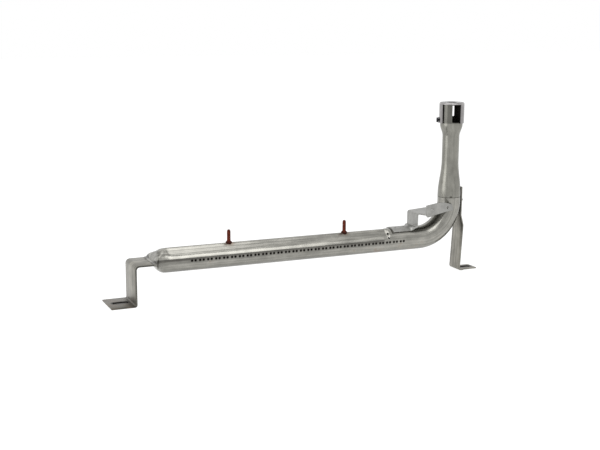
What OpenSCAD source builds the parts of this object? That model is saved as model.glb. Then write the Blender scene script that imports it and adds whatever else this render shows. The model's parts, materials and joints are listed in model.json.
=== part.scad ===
// Gas tube burner: ported tube, elbow, venturi, air mixer, feet, studs and igniter bracket.
// +X runs along the tube from its closed end to the upright, +Y to the side, +Z up.
// The origin is midway between the two foot slots, on the plane that the feet stand on.

/* [Burner tube] */
// Outer diameter of the burner tube
tube_od = 28.6; // [26:0.1:32]
// Wall of the burner tube and of the venturi
wall = 0.9; // [0.7:0.1:1.2]
// Height of the tube's axis above the feet
axis_height = 45.5; // [40:0.5:60]
// From the front leg's outer face to the upright's axis
body_run = 409; // [390:1:440]
// Radius of the elbow at its centre line
elbow_radius = 43.5; // [36:0.1:45]
// Straight stretch of tube above the elbow
collar_len = 5; // [5:0.1:12]

/* [Closed end] */
// From the front leg's outer face to the flat end of the tube
pinch_setback = 20; // [16:1:26]
// Length of the flat pinched lip
pinch_len = 5; // [4:0.5:8]
// Length of the transition from flat to round
neck_len = 12; // [10:1:18]

/* [Pressed flanks] */
// From the end of the sloping shoulder to the igniter bracket's saddle
shoulder_gap = 5.2; // [3:0.1:10]
// Length of the sloping shoulder where the flanks end
shoulder_len = 4.6; // [4:0.1:7]
// How far the crown is lowered between the flanks
crown_drop = 0.2; // [0.1:0.1:1.6]
// Angle of each flank's normal above the horizontal
flank_angle = 48; // [44:1:52]
// Angle of the crease above the horizontal
crease_angle = 12; // [8:1:16]

/* [Gas ports] */
// Port pairs on each side
port_pairs = 29; // [1:1:30]
// Pitch of the pairs
port_pitch = 9.525; // [8.5:0.025:10]
// Spacing of the two ports in a pair
port_gap = 4.1; // [3:0.1:5]
// Diameter of a port
port_d = 2.2; // [1.4:0.1:2.6]
// From the end of the neck to the first port
port_start = 30; // [20:1:36]
// Diameter of the flame carry-over holes in the shoulder
carry_d = 2.8; // [2:0.1:3.2]
// Angle of the lower carry-over hole above the horizontal
carry_low = 22; // [20:1:26]
// Angle of the upper carry-over hole above the horizontal
carry_high = 46; // [43:1:52]

/* [Strap feet] */
// Thickness of the strap
strap_t = 1.6; // [1.2:0.1:2]
// Gap between each side of the front strap and the inside of the pinched lip
tab_gap = 0.3; // [0.1:0.1:4]
// Width of the rear strap
rear_w = 23; // [20:0.1:30]
// Width of the rear strap's narrow top
rear_top_w = 12; // [11:0.5:16]
// Width of the rear foot beyond its step
rear_toe_w = 19.5; // [16:0.5:24]
// Inner radius of the top bend of the front strap
top_bend = 3.4; // [2:0.1:5]
// Inner radius of the bends at the feet
foot_bend = 1.4; // [1:0.1:3]
// Length of the front foot, from the leg's outer face
front_foot = 27.6; // [24:0.1:34]
// Length of the rear foot, from the leg's inner face
rear_foot = 26.8; // [24:0.1:34]
// How far the rear leg leans back towards the closed end
rear_lean = 3.1; // [0:0.1:4]
// Height of the rear strap's top end
rear_top = 106; // [100:1:108]
// Height at which the rear strap starts to lean
rear_knee = 60; // [50:1:66]
// Height at which the rear strap has its full width
rear_step = 58; // [50:1:60]
// Height of the slope between its two widths
rear_slope = 12; // [6:1:14]

/* [Foot slots] */
// Length of a foot slot, end to end
slot_len = 18; // [14:0.5:19]
// Width of a foot slot
slot_w = 7; // [5:0.1:8]
// From the front leg's outer face to its slot's centre
front_slot = 12.4; // [12:0.1:16]
// From the rear leg's inner face to its slot's centre
rear_slot = 14.2; // [13:0.1:16]

/* [Studs] */
// Diameter of a stud
stud_d = 4.2; // [3.5:0.1:5]
// Height of a stud's tip above the tube
stud_h = 15.2; // [12:0.1:20]
// Diameter of the weld collar
stud_collar_d = 7.6; // [6.5:0.1:9]
// Height of the weld collar above the tube
stud_collar_h = 1.6; // [1:0.1:2.5]
// From the end of the neck to the front stud
stud_start = 79; // [70:1:85]
// Spacing of the studs
stud_spacing = 147.4; // [140:0.1:155]

/* [Venturi] */
// Radius of the throat, outside
throat_r = 10.4; // [9.5:0.1:11]
// Length of the spigot inside the elbow's collar
spigot_len = 7.3; // [7:0.1:7.3]
// From the seam down to the axis of the rear strap's screw
screw_drop = 5.1; // [2.2:0.1:5.2]
// Radial clearance of the spigot in the collar
spigot_gap = 0.05; // [0.02:0.01:0.1]
// Height of the plain band above the seam
band_h = 2; // [1:0.5:5]
// Length of the taper from the band to the throat
taper_len = 44; // [36:1:50]
// Length of the straight throat
throat_len = 30; // [26:1:36]
// Length of the flare from the throat to the mixer head
flare_len = 14; // [10:1:18]
// Height of the mixer head above the flare
head_h = 26.2; // [23:0.1:30]
// Outer radius of the mixer head
head_r = 13.8; // [13:0.1:14.2]
// Sill of the air windows above the flare
sill_h = 3; // [2.5:0.5:6]

/* [Air windows] */
// Width of the mixer head's front window, in degrees
front_window = 100; // [80:1:100]
// Turn of the front window past the shutter's edge of facing, in degrees
front_window_turn = 3.5; // [0:0.5:6]
// Width of the mixer head's back window, in degrees
back_window = 90; // [80:1:100]
// Turn of the back window from the direction opposite, in degrees
back_window_turn = -13; // [-16:1:-8]

/* [Air shutter] */
// Outer radius of the shutter cap
cap_r = 15.3; // [15:0.1:16]
// Thickness of the shutter cap
cap_t = 0.8; // [0.6:0.1:1]
// Height of the cap's lower edge above the flare
cap_lift = 2; // [0.5:0.5:2.5]
// Gap between the cap's top and the mixer head
cap_gap = 0.3; // [0.2:0.05:0.4]
// Radius of the cap's drawn edge
cap_round = 2; // [1:0.1:3]
// Height of the rim above the cap's windows
cap_rim = 2.4; // [1.6:0.1:4]
// Width of each window of the cap, in degrees
cap_window = 92; // [80:1:94]
// Direction of the cap's front window, in degrees
cap_facing = 237.8; // [230:0.1:245]
// Radius of the orifice hole
orifice_r = 5.6; // [5:0.1:6.5]
// Depth of the orifice collar
orifice_depth = 3.8; // [3:0.1:5]
// Direction of the lock screw, in degrees
lock_angle = 150; // [146:1:154]
// Height of the lock screw above the cap's lower edge
lock_lift = 3.4; // [3.2:0.1:4]

/* [Screws] */
// Diameter of a screw's shank
screw_d = 3.4; // [3:0.1:3.6]
// Width across the flats of a screw's hex
hex_af = 5.5; // [5:0.1:6]
// Diameter of the washer under the hex
washer_d = 7.2; // [6.6:0.1:8]
// Thickness of the washer
washer_t = 0.8; // [0.6:0.1:1]
// Height of the hex
hex_h = 2; // [1.6:0.1:2.6]
// Length of the rear bracket's screw under its head
rear_screw_len = 8; // [6:0.5:9]

/* [Igniter bracket] */
// Thickness of the igniter bracket
ign_t = 1.5; // [1.2:0.1:1.8]
// Width of the igniter bracket's riser
ign_w = 25; // [20:0.5:26]
// From the riser to the upright's axis
ign_back = 52; // [49:0.5:53]
// Length from the saddle's start to the riser
saddle_len = 31.5; // [28:0.5:33]
// From the end of the saddle's arch to the riser
saddle_end = 6; // [4:0.5:8]
// Length of the flat tongue in front of the riser
tongue_len = 9; // [8.5:0.5:12]
// Half angle of the saddle round the tube
saddle_angle = 44; // [38:1:50]
// Height of the web above the tube
web_lift = 18.2; // [16:0.1:22]
// Sideways roll of the web
web_roll = 0.5; // [0:0.5:6]
// Upward pitch of the web
web_pitch = 4; // [0:0.5:5]
// Length of the web from the riser
web_len = 33; // [31:0.5:34]
// Cut of the web's far corner, along it
web_cut = 6; // [4:0.5:8]
// Side of the web's far end, from the tube's plane
web_end_y = 4; // [2:0.5:6]
// From the riser to where the web reaches the flange
web_notch = 6; // [6:0.5:8]
// Turn of the flange towards the upright
flange_turn = 10; // [6:0.5:12]
// Length of the flange
flange_len = 43.5; // [40:0.5:44]
// From the flange's free end to the upright's axis, along the tube
flange_end = 2.6; // [2:0.1:4]
// Distance of the flange's free end in front of the upright's axis
flange_y = 15.8; // [15.5:0.1:18]
// Height of the flange's lower corner above the tube
flange_low = 14; // [12:0.1:16]
// Height of the flange's top above the tube
flange_high = 31; // [28:0.1:34]
// Cut of the flange's lower corner, up and along
flange_cut = [3, 2.5];
// Drop of the flange's top at its fixed end
flange_dip = 1.8; // [1:0.1:3]
// Where the flange's level top starts, from the free end
flange_top_from = 24; // [22:0.5:26]
// Where the flange's level top stops, from the free end
flange_top_to = 17.4; // [14:0.1:20]
// Drop and slant of the flange's free end
flange_slant = [2, 4];
// Length and height of the step under the free end
flange_step = [7, 5.2];
// From the flange's free end to the nearer screw hole
ign_hole_end = 9.5; // [8:0.1:11]
// Spacing of the igniter screw holes
ign_spacing = 25; // [22:0.1:26]
// Diameter of the igniter screw holes
ign_hole_d = 3.4; // [3:0.1:4]
// Height of the igniter screw holes above the tube
ign_hole_z = 23.4; // [22:0.1:25]

/* [Hidden] */
$fn = 64;
eps = 0.01;

// End slices of a faceted transition, and the step by which it stays inside its neighbours.
slice = 0.1;
ledge = 0.05;

tube_r = tube_od / 2;
tube_top = axis_height + tube_r;

// Places along X, measured from midway between the foot slots.
rear_face = body_run + tube_r;
slot_span = front_slot + rear_face - rear_lean + rear_slot;
front_x = front_slot - slot_span / 2;
upright_x = front_x + body_run;
rear_x = front_x + rear_face;
rear_foot_x = rear_x - rear_lean;
pinch_x = front_x + pinch_setback;
neck_x = pinch_x + pinch_len;
pressed_x = neck_x + neck_len;
riser_x = upright_x - ign_back;
saddle_x = riser_x - saddle_len;
round_x = saddle_x - shoulder_gap;
shoulder_x = round_x - shoulder_len;
elbow_x = upright_x - elbow_radius;

// The pressed section: two flat flanks tangent to a lowered crown arc.
crease_r = tube_r * cos(flank_angle - crease_angle);
crown_z = (tube_r - crown_drop - crease_r) / (1 - sin(flank_angle));
crown_r = tube_r - crown_drop - crown_z;

// The pinched end: half of the tube's girth wide, with the strap between its two walls.
pinch_w = PI * (tube_od - wall) / 2 + wall;
pinch_t = strap_t + 2 * wall;
front_w = floor(10 * (pinch_w - 2 * wall - 2 * tab_gap)) / 10;

// Heights up the venturi.
collar_z = axis_height + elbow_radius;
seam_z = collar_z + collar_len;
band_z = seam_z + band_h;
throat_z = band_z + taper_len;
flare_z = throat_z + throat_len;
head_z = flare_z + flare_len;
head_top = head_z + head_h;
cap_top = head_top + cap_gap + cap_t;
cap_low = head_z + cap_lift;
lock_z = cap_low + lock_lift;
spigot_r = tube_r - wall - spigot_gap;
rear_screw_z = seam_z - screw_drop;

// Clearances: the lock screw in the shutter, a fixed shank in its hole, the lock screw's washer off
// the shutter and its tip off the mixer head.
screw_gap = 0.2;
pin_gap = 0.05;
head_gap = 0.3;
tip_gap = 0.3;
lock_screw_len = cap_r + head_gap - head_r - tip_gap;

// Air windows of the mixer head: start and width in degrees, open at the top.
head_windows = [[cap_facing + front_window_turn, front_window],
                [cap_facing - 180 + back_window_turn, back_window]];

// ---------- shared shapes ----------

// Pressed section, shrunk inwards by inset.
module pressed_section(inset) {
    r = tube_r - inset;
    cr = crown_r - inset;
    d = crown_z * sin(flank_angle) + cr;
    a = flank_angle - acos(d / r);
    translate([0, crown_z]) circle(cr);
    polygon([[r * cos(a), r * sin(a)],
             [cr * cos(flank_angle), crown_z + cr * sin(flank_angle)],
             [-cr * cos(flank_angle), crown_z + cr * sin(flank_angle)],
             [-r * cos(a), r * sin(a)],
             [1 - r * cos(a), r * sin(a) - 1],
             [r * cos(a) - 1, r * sin(a) - 1]]);
    intersection() {
        circle(r);
        translate([-tube_od, r * sin(a) - 2 * tube_od]) square([2 * tube_od, 2 * tube_od]);
    }
}

// Extrudes a section, drawn in Y and Z about the tube's axis, along X.
module along_tube(x, len) {
    translate([x, 0, axis_height]) rotate([90, 0, 90]) linear_extrude(len) children();
}

// The tube's whole form, shrunk inwards by inset, with open ends for the inner one.
module tube_form(inset) {
    over = inset > 0 ? 1 : 0;
    flat_w = pinch_w - 2 * inset;
    flat_t = pinch_t - 2 * inset;
    translate([pinch_x - over, -flat_w / 2, axis_height - flat_t / 2])
        cube([pinch_len + over, flat_w, flat_t]);
    hull() {
        translate([neck_x, ledge - flat_w / 2, axis_height + ledge - flat_t / 2])
            cube([slice, flat_w - 2 * ledge, flat_t - 2 * ledge]);
        along_tube(pressed_x - slice, slice) pressed_section(inset + ledge, $fn = 48);
    }
    along_tube(pressed_x, shoulder_x - pressed_x) pressed_section(inset);
    hull() {
        along_tube(shoulder_x, slice) pressed_section(inset + ledge, $fn = 48);
        along_tube(round_x - slice, slice) circle(tube_r - inset - ledge, $fn = 48);
    }
    along_tube(round_x, elbow_x - round_x) circle(tube_r - inset);
    translate([elbow_x, 0, collar_z]) rotate([90, 90, 0])
        rotate_extrude(angle = 90) translate([elbow_radius, 0]) circle(tube_r - inset);
    translate([upright_x, 0, collar_z]) cylinder(h = collar_len + over, r = tube_r - inset);
}

// Hex washer screw, shank along -Z, washer's underside at z = 0.
module hex_screw(len) {
    cylinder(h = washer_t, d = washer_d);
    translate([0, 0, washer_t - eps]) cylinder(h = hex_h + eps, d = hex_af / cos(30), $fn = 6);
    translate([0, 0, -len]) cylinder(h = len + eps, d = screw_d);
}

// Quarter bend about the Y axis, from +X round to +Z.
module bend(r_in, t, w) {
    rotate([90, 0, 0]) translate([0, 0, -w / 2])
        rotate_extrude(angle = 90) translate([r_in, 0]) square([t, w]);
}

// Slot along X with round ends.
module slot(len, w, depth) {
    for (s = [-1, 1]) translate([s * (len - w) / 2, 0, 0]) cylinder(h = depth, d = w, center = true);
    cube([len - w, w, depth], center = true);
}

// ---------- pieces ----------

module burner_tube() {
    first = pressed_x + port_start;
    color("silver") difference() {
        tube_form(0);
        tube_form(wall);
        for (i = [0 : port_pairs - 1], j = [0, 1])
            translate([first + i * port_pitch + j * port_gap, 0, axis_height])
                rotate([90, 0, 0]) cylinder(h = tube_od + 2, d = port_d, center = true, $fn = 24);
        for (side = [0, 1], a = [carry_low, carry_high]) mirror([0, side, 0]) carry_hole(a);
        translate([upright_x, 0, rear_screw_z]) rotate([0, 90, 0])
            cylinder(h = tube_od, d = screw_d + 2 * pin_gap);
    }
}

// Flame carry-over hole square to the shoulder's slope, at angle a above the horizontal.
module carry_hole(a) {
    flank_r = crease_r / cos(flank_angle - a);
    slope = atan((tube_r - flank_r) / shoulder_len);
    translate([(shoulder_x + round_x) / 2, 0, axis_height]) rotate([90 - a, 0, 0])
        translate([0, 0, (flank_r + tube_r) / 2]) rotate([0, -slope, 0])
            cylinder(h = 5 * wall, d = carry_d, center = true, $fn = 24);
}

// Outline of the venturi's outer wall, from the seam up, as radius and height.
function ease(t) = (1 - cos(180 * t)) / 2;
function venturi_side(inset) = concat(
    [for (i = [0 : 10]) [tube_r + (throat_r - tube_r) * ease(i / 10) - inset,
                         band_z + taper_len * i / 10]],
    [for (i = [0 : 8]) [throat_r + (head_r - throat_r) * ease(i / 8) - inset,
                        flare_z + flare_len * i / 8]]);

module venturi_tube() {
    inner = venturi_side(wall);
    color("silver") difference() {
        translate([upright_x, 0, 0]) rotate_extrude() polygon(concat(
            [[spigot_r - wall, seam_z - spigot_len], [spigot_r, seam_z - spigot_len],
             [spigot_r, seam_z], [tube_r, seam_z]],
            venturi_side(0),
            [[head_r, head_top], [head_r - wall, head_top]],
            [for (i = [len(inner) - 1 : -1 : 0]) inner[i]],
            [[spigot_r - wall, seam_z]]));
        translate([upright_x, 0, 0]) for (w = head_windows)
            translate([0, 0, head_z + sill_h]) sector(w[0], w[1], 2 * cap_r, head_h);
        translate([upright_x, 0, rear_screw_z]) rotate([0, 90, 0])
            cylinder(h = tube_od, d = screw_d + 2 * pin_gap);
    }
}

// Wedge of a cylinder from angle a, turn degrees wide (under 180).
module sector(a, turn, r, h) {
    rotate([0, 0, a]) linear_extrude(h) polygon(concat([[0, 0]],
        [for (i = [0 : 6]) [r * cos(turn * i / 6), r * sin(turn * i / 6)]]));
}

module air_shutter() {
    cap_in = cap_r - cap_t;
    color("gainsboro") translate([upright_x, 0, 0]) difference() {
        union() {
            difference() {
                union() {
                    translate([0, 0, cap_low]) cylinder(h = cap_top - cap_round - cap_low, r = cap_r);
                    translate([0, 0, cap_top - cap_round - eps])
                        cylinder(h = cap_round + eps, r = cap_r - cap_round);
                    translate([0, 0, cap_top - cap_round]) rotate_extrude()
                        translate([cap_r - cap_round, 0]) intersection() {
                            circle(cap_round);
                            square(cap_round);
                        }
                }
                translate([0, 0, cap_low - 1]) cylinder(h = cap_top - cap_t - cap_low + 1, r = cap_in);
            }
            translate([0, 0, cap_top - orifice_depth]) cylinder(h = orifice_depth - eps, r = orifice_r + cap_t);
        }
        translate([0, 0, cap_low]) cylinder(h = head_h * 2, r = orifice_r);
        for (turn = [0, 180]) translate([0, 0, cap_low - 1]) difference() {
            sector(cap_facing + turn - cap_window / 2, cap_window, 2 * cap_r, cap_top - cap_rim - cap_low + 1);
            cylinder(h = 2 * head_h, r = head_r + cap_gap / 2);
        }
        translate([0, 0, lock_z]) rotate([0, 90, lock_angle])
            cylinder(h = 2 * cap_r, d = screw_d + 2 * screw_gap);
    }
}

// The lock screw is threaded in the shutter and clamps it to the mixer head with its tip.
module shutter_screw() {
    color("dimgray") translate([upright_x, 0, lock_z]) rotate([0, 90, lock_angle])
        translate([0, 0, cap_r + head_gap]) hex_screw(lock_screw_len);
}

module front_bracket() {
    tab_z = axis_height - strap_t / 2;
    tab_top = tab_z + strap_t;
    curl = top_bend + strap_t;
    foot_curl = foot_bend + strap_t;
    color("darkgray") difference() {
        union() {
            translate([front_x + curl, -front_w / 2, tab_z]) cube([neck_x - front_x - curl, front_w, strap_t]);
            translate([front_x + curl, 0, tab_top - curl]) mirror([1, 0, 0]) bend(top_bend, strap_t, front_w);
            translate([front_x, -front_w / 2, foot_curl])
                cube([strap_t, front_w, tab_top - curl - foot_curl]);
            translate([front_x - foot_bend, 0, foot_curl]) mirror([0, 0, 1]) bend(foot_bend, strap_t, front_w);
            translate([front_x - front_foot, -front_w / 2, 0])
                cube([front_foot - foot_bend, front_w, strap_t]);
        }
        translate([front_x - front_slot, 0, strap_t / 2]) slot(slot_len, slot_w, 2 * strap_t);
    }
}

module rear_bracket() {
    foot_curl = foot_bend + strap_t;
    leg_h = rear_knee - foot_curl;
    color("darkgray") difference() {
        union() {
            // Narrow top, slope and full-width leg, on one leaning profile.
            intersection() {
                rotate([90, 0, 0]) linear_extrude(2 * rear_w, center = true) polygon([
                    [rear_x, rear_top], [rear_x, rear_knee],
                    [rear_foot_x, rear_knee - leg_h],
                    [rear_foot_x + strap_t, rear_knee - leg_h],
                    [rear_x + strap_t, rear_knee], [rear_x + strap_t, rear_top]]);
                translate([rear_foot_x - 1, 0, 0]) rotate([90, 0, 90]) linear_extrude(rear_lean + strap_t + 2)
                    polygon([[-rear_w / 2, 0], [rear_w / 2, 0], [rear_w / 2, rear_step],
                             [rear_top_w / 2, rear_step + rear_slope], [rear_top_w / 2, rear_top],
                             [-rear_top_w / 2, rear_top], [-rear_top_w / 2, rear_step + rear_slope],
                             [-rear_w / 2, rear_step]]);
            }
            translate([rear_foot_x + foot_curl, 0, foot_curl]) rotate([0, 180, 0])
                bend(foot_bend, strap_t, rear_w);
            translate([rear_foot_x + foot_curl, 0, 0]) linear_extrude(strap_t) polygon([
                [0, -rear_w / 2], [foot_curl, -rear_w / 2], [2 * foot_curl, -rear_toe_w / 2],
                [rear_foot - foot_curl, -rear_toe_w / 2], [rear_foot - foot_curl, rear_toe_w / 2],
                [2 * foot_curl, rear_toe_w / 2], [foot_curl, rear_w / 2], [0, rear_w / 2]]);
        }
        translate([rear_foot_x + rear_slot, 0, strap_t / 2]) slot(slot_len, slot_w, 2 * strap_t);
        translate([rear_x, 0, rear_screw_z]) rotate([0, 90, 0])
            cylinder(h = 4 * strap_t, d = screw_d + 2 * pin_gap, center = true);
    }
}

module rear_bracket_screw() {
    color("dimgray") translate([rear_x + strap_t, 0, rear_screw_z]) rotate([0, 90, 0])
        hex_screw(rear_screw_len);
}

module igniter_bracket() {
    web_z = tube_top + web_lift - ign_t;
    side = ign_w / 2;
    far = 2 * tube_r;
    color("lightgray") difference() {
        union() {
            // Saddle round the tube and the flat tongue that leads to the riser.
            translate([saddle_x, 0, axis_height]) rotate([0, 90, 0]) difference() {
                rotate([0, 0, 180 - saddle_angle]) linear_extrude(saddle_len - saddle_end) intersection() {
                    circle(tube_r + ign_t);
                    polygon([[0, 0], [far, 0],
                             [far * cos(saddle_angle), far * sin(saddle_angle)],
                             [far * cos(2 * saddle_angle), far * sin(2 * saddle_angle)]]);
                }
                cylinder(h = 3 * saddle_len, r = tube_r, center = true);
            }
            translate([riser_x - tongue_len, -side, tube_top]) cube([tongue_len + ign_t, ign_w, ign_t]);
            translate([riser_x, -side, tube_top]) cube([ign_t, ign_w, web_lift - ign_t / 2]);
            // Web, rolled and pitched, wider at the side that carries the flange.
            translate([riser_x, 0, web_z]) rotate([web_roll, -web_pitch, 0]) linear_extrude(ign_t) polygon([
                [0, side], [web_len - web_cut, side], [web_len, web_end_y], [web_len, flange_line(web_len)],
                [web_notch, flange_line(web_notch)], [ign_t, -side], [0, -side]]);
            on_flange() linear_extrude(ign_t) polygon([
                [-flange_len, flange_low + flange_cut.y], [-flange_len, flange_high - flange_dip],
                [-flange_top_from, flange_high], [-flange_top_to, flange_high],
                [-flange_slant.x, flange_high - flange_slant.y], [0, flange_low + flange_step.y],
                [-flange_step.x, flange_low + flange_step.y], [flange_cut.x - flange_len, flange_low]]);
        }
        for (s = [0, 1]) on_flange() translate([s * ign_spacing - ign_spacing - ign_hole_end, ign_hole_z])
            cylinder(h = 6 * ign_t, d = ign_hole_d, center = true);
    }
}

// Side of the flange's back face at x from the riser, a little inside its thickness.
function flange_line(x) = ign_t / 4 - flange_y - (ign_back - flange_end - x) * tan(flange_turn);

// Frame of the flange: X along it from its free end, Y up from the tube's top, Z to the back.
module on_flange() {
    translate([upright_x - flange_end, -flange_y, tube_top]) rotate([0, 0, flange_turn])
        rotate([90, 0, 0]) mirror([0, 0, 1]) children();
}

module stud(x) {
    crown = tube_top - crown_drop;
    color("sienna") translate([x, 0, 0]) difference() {
        union() {
            translate([0, 0, crown - 1]) cylinder(h = stud_collar_h + 1, d = stud_collar_d);
            translate([0, 0, crown]) cylinder(h = stud_h - stud_d / 2, d = stud_d);
            translate([0, 0, crown + stud_h - stud_d / 2]) sphere(d = stud_d);
        }
        along_tube(-stud_collar_d, 2 * stud_collar_d) pressed_section(0);
    }
}

module front_stud() {
    stud(pressed_x + stud_start);
}

module rear_stud() {
    stud(pressed_x + stud_start + stud_spacing);
}

burner_tube();
venturi_tube();
air_shutter();
shutter_screw();
front_bracket();
rear_bracket();
rear_bracket_screw();
igniter_bracket();
front_stud();
rear_stud();
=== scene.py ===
"""Gas tube burner: sheet steel pieces and their finishes, built around the packed frame."""
import json
import math

import bmesh
import bpy
from bpy.props import FloatProperty, FloatVectorProperty, IntProperty, PointerProperty
from mathutils import Matrix, Vector, noise


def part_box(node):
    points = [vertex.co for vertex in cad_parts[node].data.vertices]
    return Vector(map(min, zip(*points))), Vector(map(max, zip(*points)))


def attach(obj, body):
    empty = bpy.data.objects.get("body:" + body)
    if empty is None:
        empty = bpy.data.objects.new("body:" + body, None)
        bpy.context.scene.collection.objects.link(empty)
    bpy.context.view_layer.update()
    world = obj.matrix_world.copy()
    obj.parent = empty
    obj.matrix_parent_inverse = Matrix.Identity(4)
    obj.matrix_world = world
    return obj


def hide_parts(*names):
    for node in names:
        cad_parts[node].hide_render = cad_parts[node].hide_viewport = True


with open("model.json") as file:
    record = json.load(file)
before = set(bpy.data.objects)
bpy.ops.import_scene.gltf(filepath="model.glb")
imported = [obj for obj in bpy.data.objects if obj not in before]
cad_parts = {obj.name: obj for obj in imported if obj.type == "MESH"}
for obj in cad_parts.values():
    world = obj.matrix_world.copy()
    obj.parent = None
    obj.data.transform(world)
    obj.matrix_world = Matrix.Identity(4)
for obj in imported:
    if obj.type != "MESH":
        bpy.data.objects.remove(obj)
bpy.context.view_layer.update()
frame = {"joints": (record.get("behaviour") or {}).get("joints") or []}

bl_info = {
    "name": "Gas tube burner",
    "version": (1, 0, 0),
    "blender": (4, 5, 0),
    "location": "3D View > Sidebar > Burner",
    "description": "Makes a ported burner tube with its venturi, shutter, brackets, studs and screws",
    "category": "Add Mesh",
}

MM = 0.001

# The solid tube starts this far behind the front leg's outer face, and the rear screw's head ends
# this far behind the tube.
TUBE_START = 20 * MM
REAR_HEAD = 4.4 * MM

# Places that the frame gives: the upright's axis, the front leg, the tube's back, the seam between
# elbow and venturi, the shutter's ends and the two screws.
JOINTS = {joint["name"]: joint for joint in frame["joints"]}
UPRIGHT_X = JOINTS["air_shutter_turn"]["pos_m"][0]
LOCK_AXIS = Vector(JOINTS["shutter_screw_turn"]["axis"])
LOCK_Z = JOINTS["shutter_screw_turn"]["pos_m"][2]
FRONT_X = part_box("burner_tube")[0].x - TUBE_START
REAR_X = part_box("rear_bracket_screw")[1].x - REAR_HEAD
SEAM_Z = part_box("burner_tube")[1].z
CAP_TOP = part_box("air_shutter")[1].z
CAP_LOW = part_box("air_shutter")[0].z
SCREW_Z = sum(corner.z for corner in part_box("rear_bracket_screw")) / 2

SHARP = 35
ROUNDING_STEPS = 2
BORE_SIDES = 24
PORT_SIDES = 20
SHANK_SIDES = 24
COIL_STEPS = 20
RIDGE_SIDES = 4
SCREW_BORE_RADIUS = 1.75 * MM
AIR_WINDOW_REACH = 18 * MM


# ---------- sizes and colours that a user may change ----------

def length(name, millimetres, about):
    """A length property with its default in millimetres."""
    return FloatProperty(name=name, description=about, default=millimetres * MM,
                         unit="LENGTH", subtype="DISTANCE", precision=5)


def turn(name, degrees, about):
    """An angle property with its default in degrees."""
    return FloatProperty(name=name, description=about, default=math.radians(degrees),
                         unit="ROTATION", subtype="ANGLE")


def colour(name, rgb, about):
    """A colour property."""
    return FloatVectorProperty(name=name, description=about, default=rgb, size=3,
                               min=0.0, max=1.0, subtype="COLOR")


class TubeSizes(bpy.types.PropertyGroup):
    """Sizes of the ported burner tube."""
    diameter: length("Diameter", 28.6, "Outer diameter of the tube")
    wall: length("Wall", 0.9, "Wall of the tube and the venturi")
    axis_height: length("Axis height", 45.5, "Height of the tube's axis above the feet")
    elbow_radius: length("Elbow radius", 43.5, "Radius of the elbow at its centre line")
    lip_start: length("Lip start", 20.6, "From the front leg's outer face to the flat lip")
    lip_length: length("Lip length", 3.6, "Length of the flat lip")
    neck_length: length("Neck length", 15, "Length from the flat lip to the full section")
    shoulder_end: length("Shoulder end", 320.3, "From the front leg's outer face to the shoulder's end")
    shoulder_length: length("Shoulder length", 4.6, "Length of the sloping shoulder")
    crown_drop: length("Crown drop", 0.2, "How far the crown lies under the round tube's top")
    flank_turn: turn("Flank angle", 48, "Angle of a flank's normal above the horizontal")
    crease_turn: turn("Crease angle", 12, "Angle of the crease above the horizontal")
    flank_rounding: length("Flank rounding", 1.3, "How far a flank's rolled edge stands over its flat")
    port_pairs: IntProperty(name="Port pairs", description="Port pairs on each side", default=29, min=1)
    port_pitch: length("Port pitch", 9.525, "Pitch of the port pairs")
    port_gap: length("Port gap", 4.1, "Spacing of the two ports in a pair")
    port_diameter: length("Port diameter", 2.2, "Diameter of a port")
    port_start: length("Port start", 67, "From the front leg's outer face to the first port")
    carry_diameter: length("Carry-over diameter", 2.8, "Diameter of a carry-over hole")
    carry_low: turn("Lower carry-over angle", 22, "Angle of the lower carry-over hole")
    carry_high: turn("Upper carry-over angle", 46, "Angle of the upper carry-over hole")


class VenturiSizes(bpy.types.PropertyGroup):
    """Sizes of the venturi and its mixer head."""
    throat_radius: length("Throat radius", 10.4, "Outer radius of the throat")
    spigot_length: length("Spigot length", 7.3, "Length of the spigot inside the elbow's collar")
    band_height: length("Band height", 2, "Height of the plain band above the seam")
    taper_length: length("Taper length", 44, "Length of the taper up to the throat")
    throat_length: length("Throat length", 30, "Length of the straight throat")
    flare_length: length("Flare length", 14, "Length of the flare up to the mixer head")
    head_radius: length("Head radius", 13.8, "Outer radius of the mixer head")
    head_height: length("Head height", 26.2, "Height of the mixer head")
    sill: length("Sill", 3, "Height of the front window's sill above the flare")
    back_sill: length("Back sill", 9, "Height of the back window's sill above the flare")
    front_start: turn("Front window start", 241.3, "Direction where the front window starts")
    front_width: turn("Front window width", 100, "Width of the front window")
    back_start: turn("Back window start", 44.8, "Direction where the back window starts")
    back_width: turn("Back window width", 90, "Width of the back window")


class ShutterSizes(bpy.types.PropertyGroup):
    """Sizes of the turning air shutter."""
    radius: length("Radius", 15.3, "Outer radius of the shutter")
    thickness: length("Thickness", 0.8, "Thickness of the shutter")
    rounding: length("Rounding", 2, "Radius of the drawn edge")
    window_rim: length("Window rim", 2.4, "Height of the rim above the windows")
    window_width: turn("Window width", 92, "Width of each window")
    facing: turn("Facing", 237.8, "Direction of the front window")
    orifice_radius: length("Orifice radius", 5.6, "Radius of the orifice hole")
    orifice_depth: length("Orifice depth", 3.8, "Depth of the orifice collar")
    screw_hole: length("Screw hole", 3.8, "Diameter of the lock screw's hole")


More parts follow.
